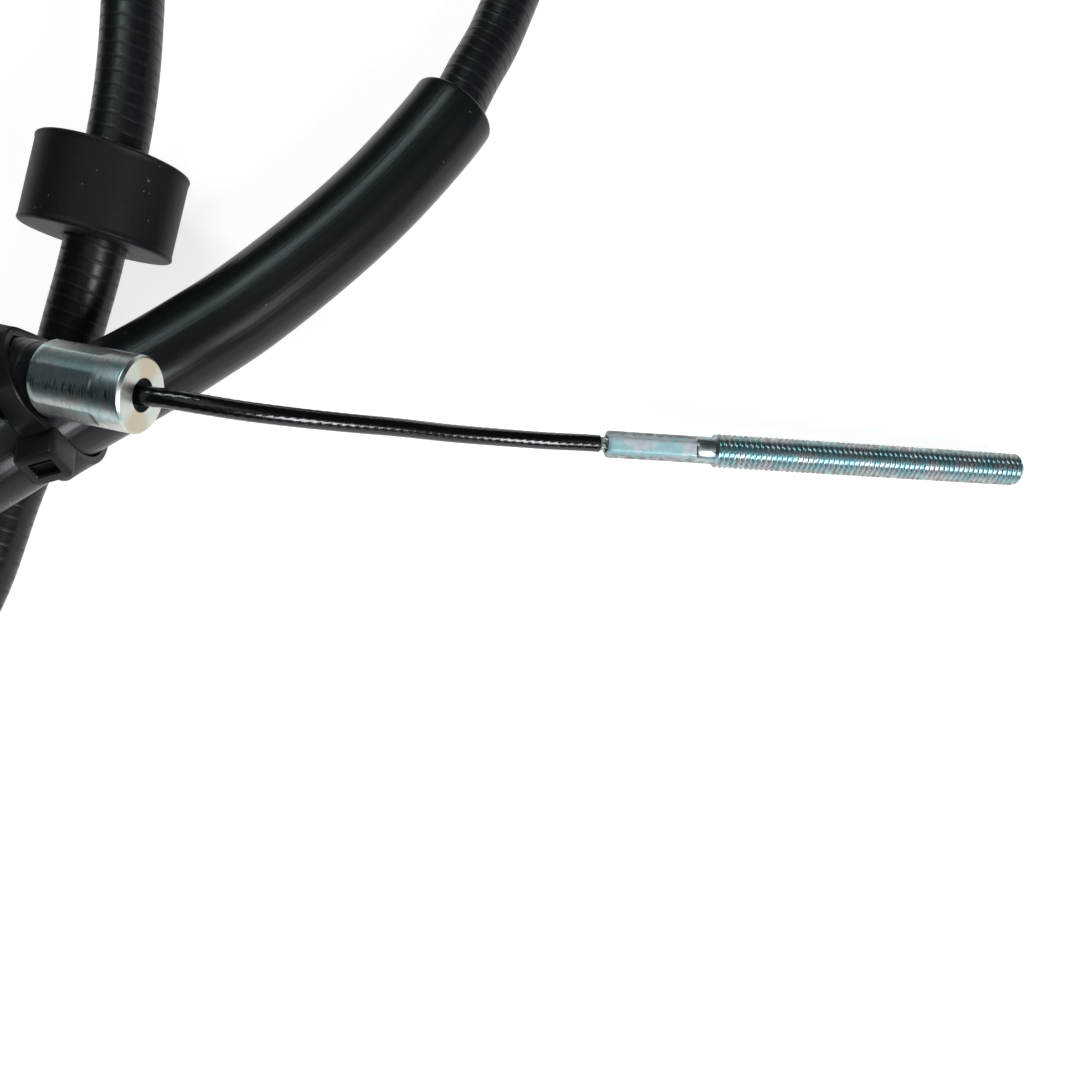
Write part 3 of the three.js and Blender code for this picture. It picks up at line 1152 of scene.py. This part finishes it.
@dataclass
class InnerCable:
    """The coated wire rope, which runs from the rod through the conduit to the rear end stop."""

    sizes: Sizes
    strands: int = 8
    strand_lay: float = 12.0 * MM
    strand_height: float = 0.06 * MM
    sides: int = 48
    shown_step: float = 0.4 * MM
    hidden_step: float = 5.0 * MM
    rope_lay_share: float = 0.8
    rope_groove: float = 0.22
    rope_rings: int = 60

    def section(self, distance: float, angles: np.ndarray) -> np.ndarray:
        """The coat's radius where the strands under it show as soft ridges."""
        phase = self.strands * (angles + 2 * math.pi * distance / self.strand_lay)
        return self.sizes.cable_radius - self.strand_height * (1 - np.abs(np.cos(phase / 2)))

    def build(self, end_stop: bpy.types.Object, rear_rope: bpy.types.Object) -> None:
        """Args:
            end_stop: the piece on the cable's rear end; not used.
            rear_rope: the stripped rope inside it; not used.
        """
        sizes = self.sizes
        start = sizes.rod_end + sizes.rope_bare
        distances = np.concatenate([
            stations(start, sizes.conduit_front, self.shown_step),
            stations(sizes.conduit_front, sizes.conduit_rear, self.hidden_step)[1:-1],
            stations(sizes.conduit_rear, sizes.stop_face, self.shown_step),
        ])
        coat = Maker.tube("cable_coat_skin", sizes.route, distances, self.sides, self.section)
        Maker.dress(coat, CableCoat().material(), "cable_coat", "inner_cable")
        tuple(sizes.route.at(start))
        [tuple(p) for p in sizes.route.at(distances)]

    def rope_end(
        self, name: str, node: str, place: np.ndarray, direction: np.ndarray, depth: float
    ) -> bpy.types.Object:
        """A stripped end of the rope, whose strands lie round each other.

        Args:
            name: the piece's name.
            node: the node that it replaces.
            place: the mouth of the bore that it goes into.
            direction: the way that it goes in.
            depth: how far it goes in.

        Returns:
            The piece.
        """
        shown = self.sizes.rope_bare - self.sizes.gap
        radius = self.sizes.rope_radius

        def strands(base: float, height: float, angles: np.ndarray) -> np.ndarray:
            """The radius of the rope, deepest between two strands."""
            phase = self.strands * (angles - 2 * math.pi * height / (self.strand_lay * self.rope_lay_share))
            return base * (1 - self.rope_groove + self.rope_groove * np.sqrt(np.abs(np.cos(phase / 2))))

        heights = np.linspace(-shown, depth, self.rope_rings)
        rope = Maker.turned(name, [(radius, float(h)) for h in heights], self.sides, Ends.CAPPED, strands)
        Maker.aim(rope, place, direction)
        return Maker.dress(rope, BareWire(name=f"{name}_steel").material(), "wire_steel", node)


@dataclass
class Ferrule:
    """A turned cap on the conduit's end, crimped with narrow flats behind."""

    sizes: Sizes
    radius: float = 5.8 * MM
    bore: float = 2.55 * MM
    chamfer: float = 0.45 * MM
    flats: int = 6
    flat_depth: float = 0.2 * MM
    flat_length: float = 10.4 * MM
    flat_ease: float = 0.5 * MM
    outside_share: float = 0.95
    lip: float = 0.25 * MM
    fillet: float = 0.12 * MM
    mouth_edge: float = 0.3 * MM
    sides: int = 144

    def crimped(self, radius: float, height: float, angles: np.ndarray) -> np.ndarray:
        """Presses narrow flats into the rear part.

        Args:
            radius: the profile's radius.
            height: the distance from the face.
            angles: the points' angles.

        Returns:
            Their radii.
        """
        start = self.sizes.ferrule_length - self.flat_length
        if radius < self.radius * self.outside_share or height < start:
            return np.full(angles.shape, radius)
        depth = self.flat_depth * min(1.0, (height - start) / self.flat_ease)
        spacing = 2 * math.pi / self.flats
        off = (angles + spacing / 2) % spacing - spacing / 2
        return np.minimum(radius, (self.radius - depth) / np.cos(off))

    def build(self, name: str, node: str, face: float, back: float, spin: float) -> bpy.types.Object:
        """Makes the ferrule.

        Args:
            name: the piece's name.
            node: the node that it replaces.
            face: the distance along the route of its face.
            back: the distance of its open end.
            spin: how far the flats are turned about its axis.

        Returns:
            The piece.
        """
        sizes = self.sizes
        length = sizes.ferrule_length
        socket = sizes.conduit_radius + sizes.gap
        start = length - self.flat_length
        outer = [
            (self.bore, 0.0, 0.0),
            (self.bore + self.lip, 0.0, 0.0),
            (self.radius - self.chamfer, 0.0, self.fillet),
            (self.radius, self.chamfer, self.fillet),
            (self.radius, start - 0.01 * MM, 0.0),
        ]
        eased = [start + self.flat_ease * share for share in (0.0, 0.5, 1.0)]
        crimp = [*eased, *np.linspace(start + MM, length - self.mouth_edge, 14)]
        inner = [
            (self.radius - self.fillet, length, 0.0),
            (socket, length, 0.0),
            (socket, sizes.ferrule_wall, 0.0),
            (self.bore, sizes.ferrule_wall, 0.0),
            (self.bore, 0.2 * MM, 0.0),
        ]
        profile = Maker.rounded([*outer, *((self.radius, float(z), 0.0) for z in crimp), *inner])
        piece = Maker.turned(name, profile, self.sides, Ends.JOINED, self.crimped)
        ends = sizes.route.at(np.array([face, back]))
        Maker.aim(piece, ends[0], ends[1] - ends[0], spin)
        # The finish paints a tan reflection on the sides and a band of dark reflection dashes.
        finish = Zinc(
            name=f"{name}_zinc", lines_along=4600.0, line_depth=0.03 * MM, grain_depth=0.15,
            side_reflection_tan=0.75, warm_face=0.45, dark_reflection=0.8, line_shade=0.38,
        )
        return Maker.dress(piece, finish.material(), "zinc_plated_steel", node)


@dataclass
class ThreadedRod:
    """The rod that is crimped on the cable: a hexagon, a neck and an M6 thread."""

    sizes: Sizes
    hex_length: float = 16.0 * MM
    hex_corners: float = 2.4 * MM
    neck_length: float = 3.4 * MM
    neck_radius: float = 2.4 * MM
    thread_length: float = 61.4 * MM
    hex_turn: float = 13.0
    run_in: float = 0.5
    thread_radius: float = 3.0 * MM
    thread_pitch: float = 1.0 * MM
    thread_depth: float = 0.58 * MM
    chamfer: float = 1.0 * MM
    bore_depth: float = 3.0 * MM
    mouth_edge: float = 0.35 * MM
    end_centre: float = 1.2 * MM
    corner_share: float = 0.985
    crest_flat: float = 0.1
    flank_share: float = 0.72
    sides: int = 60
    per_pitch: int = 10

    def section(self, radius: float, height: float, angles: np.ndarray) -> np.ndarray:
        """The radius of the hexagon, the neck and the thread.

        Args:
            radius: the profile's radius, or 0 on an end cap's middle.
            height: the distance from the crimp's mouth.
            angles: the points' angles.

        Returns:
            Their radii.
        """
        thread_start = self.hex_length + self.neck_length
        if radius < self.neck_radius * 0.8 or height < 0.0:
            return np.full(angles.shape, radius)
        if height <= self.hex_length:
            off = (angles + math.pi / 6) % (math.pi / 3) - math.pi / 6
            flat = radius * math.cos(math.pi / 6) / np.cos(off)
            return np.minimum(flat, radius * self.corner_share)
        if height <= thread_start:
            return np.full(angles.shape, radius)
        turns = (height - thread_start) / self.thread_pitch - angles / (2 * math.pi)
        tooth = np.abs((turns % 1.0) - 0.5) * 2
        cut = np.clip((tooth - self.crest_flat) / self.flank_share, 0.0, 1.0)
        run = min(1.0, (height - thread_start) / (self.run_in * self.thread_pitch))
        crest = self.neck_radius + (self.thread_radius - self.neck_radius) * run
        left = thread_start + self.thread_length - height
        crest = min(crest, self.thread_radius - max(0.0, self.chamfer - left))
        root = self.thread_radius - self.thread_depth
        return np.minimum(crest, root + (self.thread_radius - root) * cut)

    def build(self) -> bpy.types.Object:
        """Makes the rod.

        Returns:
            The piece.
        """
        bore = self.sizes.rope_radius + self.sizes.gap
        thread_start = self.hex_length + self.neck_length
        length = thread_start + self.thread_length
        corners = self.hex_corners
        profile: list[tuple[float, float]] = [
            (bore, self.bore_depth),
            (bore, 0.05 * MM),
            (bore + 0.1 * MM, 0.0),
            (corners * 0.93, 0.0),
            (corners, self.mouth_edge),
        ]
        count = round(self.thread_length / self.thread_pitch * self.per_pitch)
        hexagon = np.linspace(1 * MM, self.hex_length - 0.8 * MM, 14)
        neck = np.linspace(self.hex_length + 0.5 * MM, thread_start, 4)
        thread = np.linspace(thread_start, length, count + 1)[1:]
        profile += [(corners, float(z)) for z in hexagon]
        profile += [(corners, self.hex_length), (self.neck_radius * 0.98, self.hex_length + 0.15 * MM)]
        profile += [(self.neck_radius, float(z)) for z in neck]
        profile += [(self.thread_radius, float(z)) for z in thread]
        profile.append((self.end_centre, length))
        rod = Maker.turned("rod_with_thread", profile, self.sides, Ends.CAPPED, self.section)
        route = self.sizes.route
        start = np.array([self.sizes.rod_end])
        Maker.aim(rod, route.at(start)[0], -route.tangents(start)[0], math.radians(self.hex_turn))
        # The finish paints a tan reflection on the rod's sides.
        finish = Zinc(
            name="rod_zinc", lines_along=900.0, grain_depth=0.6, side_reflection_tan=0.9,
            bright=(0.5, 0.52, 0.52), cyan=(0.3, 0.5, 0.53), lilac=(0.44, 0.4, 0.52),
            tan=(0.24, 0.2, 0.17), blasted_length=self.hex_length,
        )
        return Maker.dress(rod, finish.material(), "zinc_plated_steel", "threaded_rod")


@dataclass
class EndStop:
    """The barrel on the rear end of the inner cable."""

    sizes: Sizes
    radius: float = 4.0 * MM
    chamfer: float = 0.6 * MM
    fillet: float = 0.1 * MM
    bore_depth: float = 6.0 * MM
    mouth_edge: float = 0.2 * MM
    end_centre: float = 1.0 * MM
    sides: int = 72

    def build(self) -> bpy.types.Object:
        """Makes the barrel.

        Returns:
            The piece.
        """
        length = self.sizes.stop_length
        bore = self.sizes.rope_radius + self.sizes.gap
        profile = Maker.rounded([
            (bore, self.bore_depth, 0.0),
            (bore, self.mouth_edge, 0.0),
            (bore + self.mouth_edge, 0.0, 0.0),
            (self.radius - self.chamfer, 0.0, self.fillet),
            (self.radius, self.chamfer, self.fillet),
            (self.radius, length - self.chamfer, self.fillet),
            (self.radius - self.chamfer, length, self.fillet),
            (self.end_centre, length, 0.0),
        ])
        stop = Maker.turned("end_stop_barrel", profile, self.sides, Ends.CAPPED)
        place, along = stop_mouth(self.sizes)
        Maker.aim(stop, place, along)
        # The default finish paints a tan reflection on the barrel's sides.
        return Maker.dress(stop, Zinc(name="stop_zinc").material(), "zinc_plated_steel", "rear_end_stop")


def stop_mouth(sizes: Sizes) -> tuple[np.ndarray, np.ndarray]:
    """Finds the end stop's bore.

    Args:
        sizes: the shared sizes.

    Returns:
        The place of its mouth and the direction that it goes in.
    """
    face = np.array([sizes.stop_face])
    along = sizes.route.tangents(face)[0]
    return sizes.route.at(face)[0] + along * sizes.rope_bare, along


@dataclass
class Bush:
    """The moulded rubber bush on the conduit."""

    sizes: Sizes
    radius: float = 12.7 * MM
    flash: float = 0.18 * MM
    fit: float = 0.06 * MM
    shrink: float = 0.07 * MM
    fillet: float = 0.3 * MM
    sides: int = 160

    def moulded(self, radius: float, height: float, angles: np.ndarray) -> np.ndarray:
        """The radius with the slight unevenness of a moulded rim."""
        wave = 0.05 * MM * np.sin(3 * angles + height / (4 * MM)) + 0.04 * MM * np.sin(7 * angles + 1.3)
        return radius + (wave if radius > self.radius * 0.8 else 0.0 * angles) - self.shrink

    def build(self) -> bpy.types.Object:
        """Makes the bush.

        Returns:
            The piece.
        """
        half = self.sizes.bush_length / 2
        bore = self.sizes.conduit_radius + self.fit
        rim = self.radius
        corners = [
            (bore, 0.0, 0.0),
            (bore, -half + 0.5 * MM, self.fillet),
            (bore + 0.7 * MM, -half, self.fillet),
            (rim - 1.4 * MM, -half, 0.0),
            (rim - 0.5 * MM, -half, self.fillet),
            (rim, -half + 0.35 * MM, self.fillet),
            (rim - self.flash, -half + 1.1 * MM, 0.4 * MM),
            (rim - self.flash, half - 1.1 * MM, 0.4 * MM),
            (rim, half - 0.4 * MM, self.fillet),
            (rim - 0.5 * MM, half, self.fillet),
            (bore + 0.7 * MM, half, self.fillet),
            (bore, half - 0.5 * MM, self.fillet),
        ]
        bush = Maker.turned("bush_moulding", Maker.rounded(corners), self.sides, Ends.JOINED, self.moulded)
        middle = self.sizes.bush_middle
        ends = self.sizes.route.at(np.array([middle - half, middle + half]))
        Maker.aim(bush, ends.mean(axis=0), ends[1] - ends[0])
        return Maker.dress(bush, BushRubber().material(), "bush_rubber", "rubber_bush")


@dataclass
class Sleeve:
    """The protective sleeve over a stretch of the conduit."""

    sizes: Sizes
    wall: float = 1.9 * MM
    step: float = 1.6 * MM
    edge: float = 0.25 * MM
    edge_length: float = 0.5 * MM
    wave: float = 0.04 * MM
    wave_run: float = 31 * MM
    sides: int = 64

    def section(self, distance: float, angles: np.ndarray) -> np.ndarray:
        """Eases the cut ends and gives the slight waviness of a drawn tube.

        Args:
            distance: the distance along the route.
            angles: the points' angles.

        Returns:
            Their radii.
        """
        left = min(distance - self.sizes.sleeve_start, self.sizes.sleeve_end - distance)
        ease = self.edge * max(0.0, 1.0 - left / self.edge_length) ** 2
        wave = self.wave * np.sin(2 * angles + distance / self.wave_run)
        return self.sizes.sleeve_radius - ease - self.wave + wave

    def build(self) -> bpy.types.Object:
        """Makes the sleeve.

        Returns:
            The piece.
        """
        start, end = self.sizes.sleeve_start, self.sizes.sleeve_end
        edges = np.array([0.0, 0.3, 0.6, 1.0]) * self.edge_length
        middle = stations(start + 1.2 * MM, end - 1.2 * MM, self.step)
        distances = np.concatenate([start + edges, middle, end - edges[::-1]])
        bore = self.sizes.sleeve_radius - self.wall
        sleeve = Maker.tube("sleeve_tube", self.sizes.route, distances, self.sides, self.section, bore)
        return Maker.dress(sleeve, SleeveRubber().material(), "sleeve_rubber", "protective_sleeve")


@dataclass
class CableTie:
    """The strap round the conduit and the sleeve, with its head."""

    sizes: Sizes
    upper_place: Place = (-0.0215, -0.0539, 0.0324)
    lower_place: Place = (-0.0186, -0.057, 0.0188)
    upper_reach: float = 60.0 * MM
    thickness: float = 1.1 * MM
    width: float = 4.6 * MM
    slack: float = 0.3 * MM
    head: tuple[float, float, float] = (5.2 * MM, 6.4 * MM, 6.6 * MM)
    window: tuple[float, float, float] = (2.6 * MM, 2.7 * MM, 3.6 * MM)
    edge: float = 0.18 * MM
    middle_share: float = 0.42
    head_share: float = 0.46
    head_points: int = 720
    head_reach: int = 12

    def __post_init__(self) -> None:
        """Finds the strap's plane and where the two tubes cross it."""
        sizes = self.sizes
        route = sizes.route
        upper = route.nearest(self.upper_place, sizes.front_back, sizes.front_back + self.upper_reach)
        lower = route.nearest(self.lower_place, sizes.sleeve_start, sizes.sleeve_end)
        self.centres = route.at(np.array([upper, lower]))
        self.tangents = route.tangents(np.array([upper, lower]))
        along = self.tangents.sum(axis=0)
        up = self.centres[0] - self.centres[1]
        self.up = up / np.linalg.norm(up)
        self.spacing = float(up @ self.up)
        side = np.cross(self.up, along)
        self.side = side / np.linalg.norm(side)
        self.facing = np.cross(self.side, self.up)

    def girth(self, index: int, radius: float, extra: float, shift: float) -> np.ndarray:
        """What one tube needs in the plane at a shift along its normal.

        Args:
            index: 0 for the conduit, 1 for the sleeve.
            radius: the tube's radius.
            extra: how far the outline stands off it.
            shift: the plane's shift along the strap's width.

        Returns:
            Points round the tube, in the strap's own plane.
        """
        tangent = self.tangents[index]
        cosine = float(tangent @ self.facing)
        slant = np.array([float(tangent @ self.side), float(tangent @ self.up)])
        sine = float(np.linalg.norm(slant))
        major = slant / sine
        minor = np.array([-major[1], major[0]])
        height = float((self.centres[index] - self.centres[1]) @ self.up)
        centre = np.array([0.0, height]) + slant * shift / cosine
        angles = np.linspace(0, 2 * math.pi, 72, endpoint=False)
        long = radius / cosine + extra
        short = radius + extra
        return centre + np.cos(angles)[:, None] * major * long + np.sin(angles)[:, None] * minor * short

    def outline(self, extra: float, shift: float, count: int = 120) -> np.ndarray:
        """The taut outline round both tubes, as points at even angles about its middle.

        Args:
            extra: how far the outline stands off the tubes.
            shift: the plane's shift along the strap's width.
            count: how many points.

        Returns:
            The points.
        """
        cloud = np.vstack([
            self.girth(0, self.sizes.conduit_radius, extra, shift),
            self.girth(1, self.sizes.sleeve_radius, extra, shift),
        ])
        middle = np.array([0.0, self.spacing * self.middle_share])
        turns = np.linspace(0, 2 * math.pi, 360, endpoint=False)
        normals = np.stack([np.cos(turns), np.sin(turns)], axis=1)
        reach = (cloud @ normals.T).max(axis=0)
        heading = np.linspace(0, 2 * math.pi, count, endpoint=False)
        out = []
        for angle in heading:
            ray = np.array([math.cos(angle), math.sin(angle)])
            facing = normals @ ray
            ahead = facing > 0.02
            limit = ((reach - normals @ middle)[ahead] / facing[ahead]).min()
            out.append(middle + ray * limit)
        return np.array(out)

    def to_world(self, flat: np.ndarray, shift: float) -> np.ndarray:
        """Points of the strap's plane in the row frame."""
        return self.centres[1] + flat[:, :1] * self.side + flat[:, 1:] * self.up + self.facing * shift

    def build(self) -> bpy.types.Object:
        """Makes the strap and its head as one moulding.

        Returns:
            The piece.
        """
        half = self.width / 2
        outer = self.thickness
        rising = [(0.0, half), (self.edge, half), (outer - self.edge, half), (outer, half - self.edge)]
        corners = [*((out, -shift) for out, shift in rising), *reversed(rising)]
        rings = np.array([
            self.to_world(self.outline(self.slack + out, shift), shift) for out, shift in corners
        ])
        strap = Maker.loft("tie_strap", rings[::-1], Ends.JOINED)
        flat = self.outline(self.slack + self.thickness, 0.0, self.head_points)
        off = np.abs(flat[:, 1] - self.spacing * self.head_share)
        at = int(np.argmin(np.where(flat[:, 0] > 0, off, 1.0)))
        run = flat[(at + self.head_reach) % self.head_points] - flat[at - self.head_reach]
        run /= np.linalg.norm(run)
        outward = np.array([run[1], -run[0]])
        centre = flat[at] + outward * (self.head[0] / 2 - self.thickness / 2)
        self.place_head(strap, centre, outward, run)
        return Maker.dress(strap, TieNylon().material(), "tie_nylon", "cable_tie")

    def place_head(
        self, strap: bpy.types.Object, centre: np.ndarray, outward: np.ndarray, run: np.ndarray
    ) -> None:
        """Joins the head, with its window and its pawl, to the strap.

        Args:
            strap: the strap, which takes the head in.
            centre: the head's middle in the strap's plane.
            outward: the way out in that plane.
            run: the strap's run in that plane.
        """
        out3 = outward[0] * self.side + outward[1] * self.up
        run3 = run[0] * self.side + run[1] * self.up
        origin = self.to_world(centre[None, :], 0.0)[0]
        turn = Matrix((Vector(out3), Vector(run3), Vector(np.cross(out3, run3)))).transposed().to_4x4()
        place = Matrix.Translation(Vector(origin)) @ turn
        shell = HeadShell(self.head, self.window)
        parts = [shell.build(), shell.pawl()]
        for part in parts:
            part.data.transform(place)
        with bpy.context.temp_override(active_object=strap, selected_editable_objects=[strap, *parts]):
            bpy.ops.object.join()


@dataclass
class HeadShell:
    """The tie's head about its own middle: out along +X, the strap along +Y."""

    size: Place
    window: Place
    corner: float = 0.9 * MM
    edge: float = 0.25 * MM
    pawl_thick: float = 0.55 * MM
    pawl_gap: float = 0.35 * MM
    pawl_steps: int = 7

    @staticmethod
    def rectangle(width: float, height: float, corner: float, x: float, steps: int = 5) -> np.ndarray:
        """A rounded rectangle in the YZ plane.

        Args:
            width: its size along Y.
            height: its size along Z.
            corner: its corners' radius.
            x: its place along X.
            steps: points on each corner beyond the first.

        Returns:
            The points.
        """
        out = []
        quarters = [(1, 1, 0.0), (-1, 1, 90.0), (-1, -1, 180.0), (1, -1, 270.0)]
        for sy, sz, start in quarters:
            for k in range(steps + 1):
                angle = math.radians(start + 90.0 * k / steps)
                y = sy * (width / 2 - corner) + corner * math.cos(angle)
                z = sz * (height / 2 - corner) + corner * math.sin(angle)
                out.append((x, y, z))
        return np.array(out)

    def build(self) -> bpy.types.Object:
        """Makes the head's shell with its window.

        Returns:
            The shell.
        """
        out, run, across = self.size
        deep, wide, tall = self.window
        top = out / 2
        edge = self.edge
        rings = np.array([
            self.rectangle(run - 2 * edge, across - 2 * edge, self.corner, -top),
            self.rectangle(run, across, self.corner, -top + edge),
            self.rectangle(run, across, self.corner, top - 2 * edge),
            self.rectangle(run - edge, across - edge, self.corner, top - edge * 0.6),
            self.rectangle(run - 3 * edge, across - 3 * edge, self.corner, top),
            self.rectangle(wide + 2 * edge, tall + 2 * edge, 0.35 * MM, top),
            self.rectangle(wide, tall, 0.25 * MM, top - edge),
            self.rectangle(wide, tall, 0.25 * MM, top - deep),
        ])
        return Maker.loft("tie_head", rings, Ends.CAPPED)

    def pawl(self) -> bpy.types.Object:
        """Makes the pawl that slopes across the window.

        Returns:
            The pawl.
        """
        deep, wide, tall = self.window
        floor = self.size[0] / 2 - deep
        reach = wide * 0.8
        half = tall / 2 - self.pawl_gap
        rings = []
        for share in np.linspace(0.0, 1.0, self.pawl_steps):
            y = -wide / 2 + reach * share
            rise = floor + deep * (0.45 + 0.4 * share)
            under = rise - self.pawl_thick
            rings.append([(rise, y, -half), (rise, y, half), (under, y, half), (under, y, -half)])
        return Maker.loft("tie_pawl", np.array(rings)[:, ::-1], Ends.CAPPED)


@dataclass(frozen=True)
class Lamp:
    """A soft rectangular lamp, aimed at the middle of the cable."""

    name: str
    place: Place
    size: tuple[float, float]
    power: float
    colour: Colour
    aim: Place = (0.0, -0.02, 0.0)

    def build(self) -> None:
        """Adds the lamp to the scene."""
        data = bpy.data.lights.new(self.name, "AREA")
        data.shape = "RECTANGLE"
        data.size, data.size_y = self.size
        data.energy = self.power
        data.color = self.colour
        lamp = bpy.data.objects.new(self.name, data)
        direction = Vector(self.aim) - Vector(self.place)
        turn = direction.to_track_quat("-Z", "Y").to_matrix().to_4x4()
        lamp.matrix_world = Matrix.Translation(Vector(self.place)) @ turn
        bpy.context.scene.collection.objects.link(lamp)


@dataclass
class Studio:
    """The camera, the floor and the light."""

    eye: Place = (0.04491, -0.09662, 0.19189)
    yaw: float = 5.0
    pitch: float = 8.0
    focal_pixels: float = 1060.0
    image_pixels: float = 1080.0
    sensor: float = 36.0
    floor_size: float = 6.0
    floor_glow: float = 0.8
    floor_tint: Colour = (0.5, 0.5, 0.5)
    room: Colour = (0.012, 0.015, 0.019)
    lamps: tuple[Lamp, ...] = (
        Lamp("window", (0.56, -0.64, 0.56), (0.42, 0.3), 8.0, (0.9, 0.95, 1.0)),
        Lamp("sky", (-0.18, 0.47, 0.86), (0.5, 0.14), 3.2, (0.8, 0.97, 1.0)),
        Lamp("ceiling", (0.1, -0.15, 1.3), (0.9, 0.9), 1.7, (1.0, 0.98, 0.95), (0.0, 0.0, 0.0)),
    )

    def camera(self) -> None:
        """Makes the camera at the photograph's viewing angle."""
        across, along = (math.tan(math.radians(angle)) for angle in (self.yaw, self.pitch))
        forward = Vector((across, along, -1.0)).normalized()
        right = (Vector((1, 0, 0)) - forward * forward.x).normalized()
        up = right.cross(forward)
        data = bpy.data.cameras.new("camera")
        data.sensor_width = self.sensor
        data.lens = self.sensor * self.focal_pixels / self.image_pixels
        data.clip_start = 0.005
        camera = bpy.data.objects.new("camera", data)
        turn = Matrix((right, up, -forward)).transposed().to_4x4()
        camera.matrix_world = Matrix.Translation(Vector(self.eye)) @ turn
        bpy.context.scene.collection.objects.link(camera)
        bpy.context.scene.camera = camera

    def floor(self) -> None:
        """Makes the pale floor."""
        half = self.floor_size / 2
        mesh = bpy.data.meshes.new("floor")
        corners = [(-half, -half, 0), (half, -half, 0), (half, half, 0), (-half, half, 0)]
        mesh.from_pydata(corners, [], [(0, 1, 2, 3)])
        floor = bpy.data.objects.new("floor", mesh)
        bpy.context.scene.collection.objects.link(floor)
        g = Graph("floor_white")
        g.set(
            Base_Color=self.floor_tint,
            Roughness=0.9,
            Specular_IOR_Level=0.1,
            Emission_Color=g.mix(g.seen() * self.floor_glow, (0.0, 0.0, 0.0), (1.0, 1.0, 1.0)),
            Emission_Strength=1.0,
        )
        mesh.materials.append(g.material)

    def light(self) -> None:
        """Sets the lamps, the world and the view."""
        for lamp in self.lamps:
            lamp.build()
        world = bpy.data.worlds.new("world")
        bpy.context.scene.world = world
        world.use_nodes = True
        background = world.node_tree.nodes["Background"]
        background.inputs["Color"].default_value = (*self.room, 1.0)
        background.inputs["Strength"].default_value = 1.0
        bpy.context.scene.view_settings.view_transform = "Standard"


def main() -> None:
    """Builds the cable and its studio."""
    logging.basicConfig(level=logging.INFO, format="%(name)s %(message)s")
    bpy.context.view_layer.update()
    studio = Studio()
    studio.camera()
    route = Route()
    sizes = Sizes(route)
    LOG.info("route: %.4f m", route.length)
    cable = InnerCable(sizes)
    stop_place, stop_along = stop_mouth(sizes)
    rod_end = np.array([sizes.rod_end])
    rod_place, rod_along = route.at(rod_end)[0], -route.tangents(rod_end)[0]
    stop = EndStop(sizes).build()
    rear_rope = cable.rope_end("rear_rope", "rear_rope_end", stop_place, stop_along, sizes.rear_rope_depth)
    rear_ferrule = Ferrule(sizes).build(
        "rear_cap", "rear_ferrule", sizes.rear_face, sizes.rear_back, sizes.rear_spin
    )
    Conduit(sizes).build(rear_ferrule)
    cable.build(stop, rear_rope)
    cable.rope_end("front_rope", "front_rope_end", rod_place, rod_along, sizes.front_rope_depth)
    Ferrule(sizes).build("front_cap", "front_ferrule", sizes.front_face, sizes.front_back, sizes.front_spin)
    ThreadedRod(sizes).build()
    Bush(sizes).build()
    Sleeve(sizes).build()
    CableTie(sizes).build()
    studio.floor()
    studio.light()


if __name__ == "__main__":
    main()
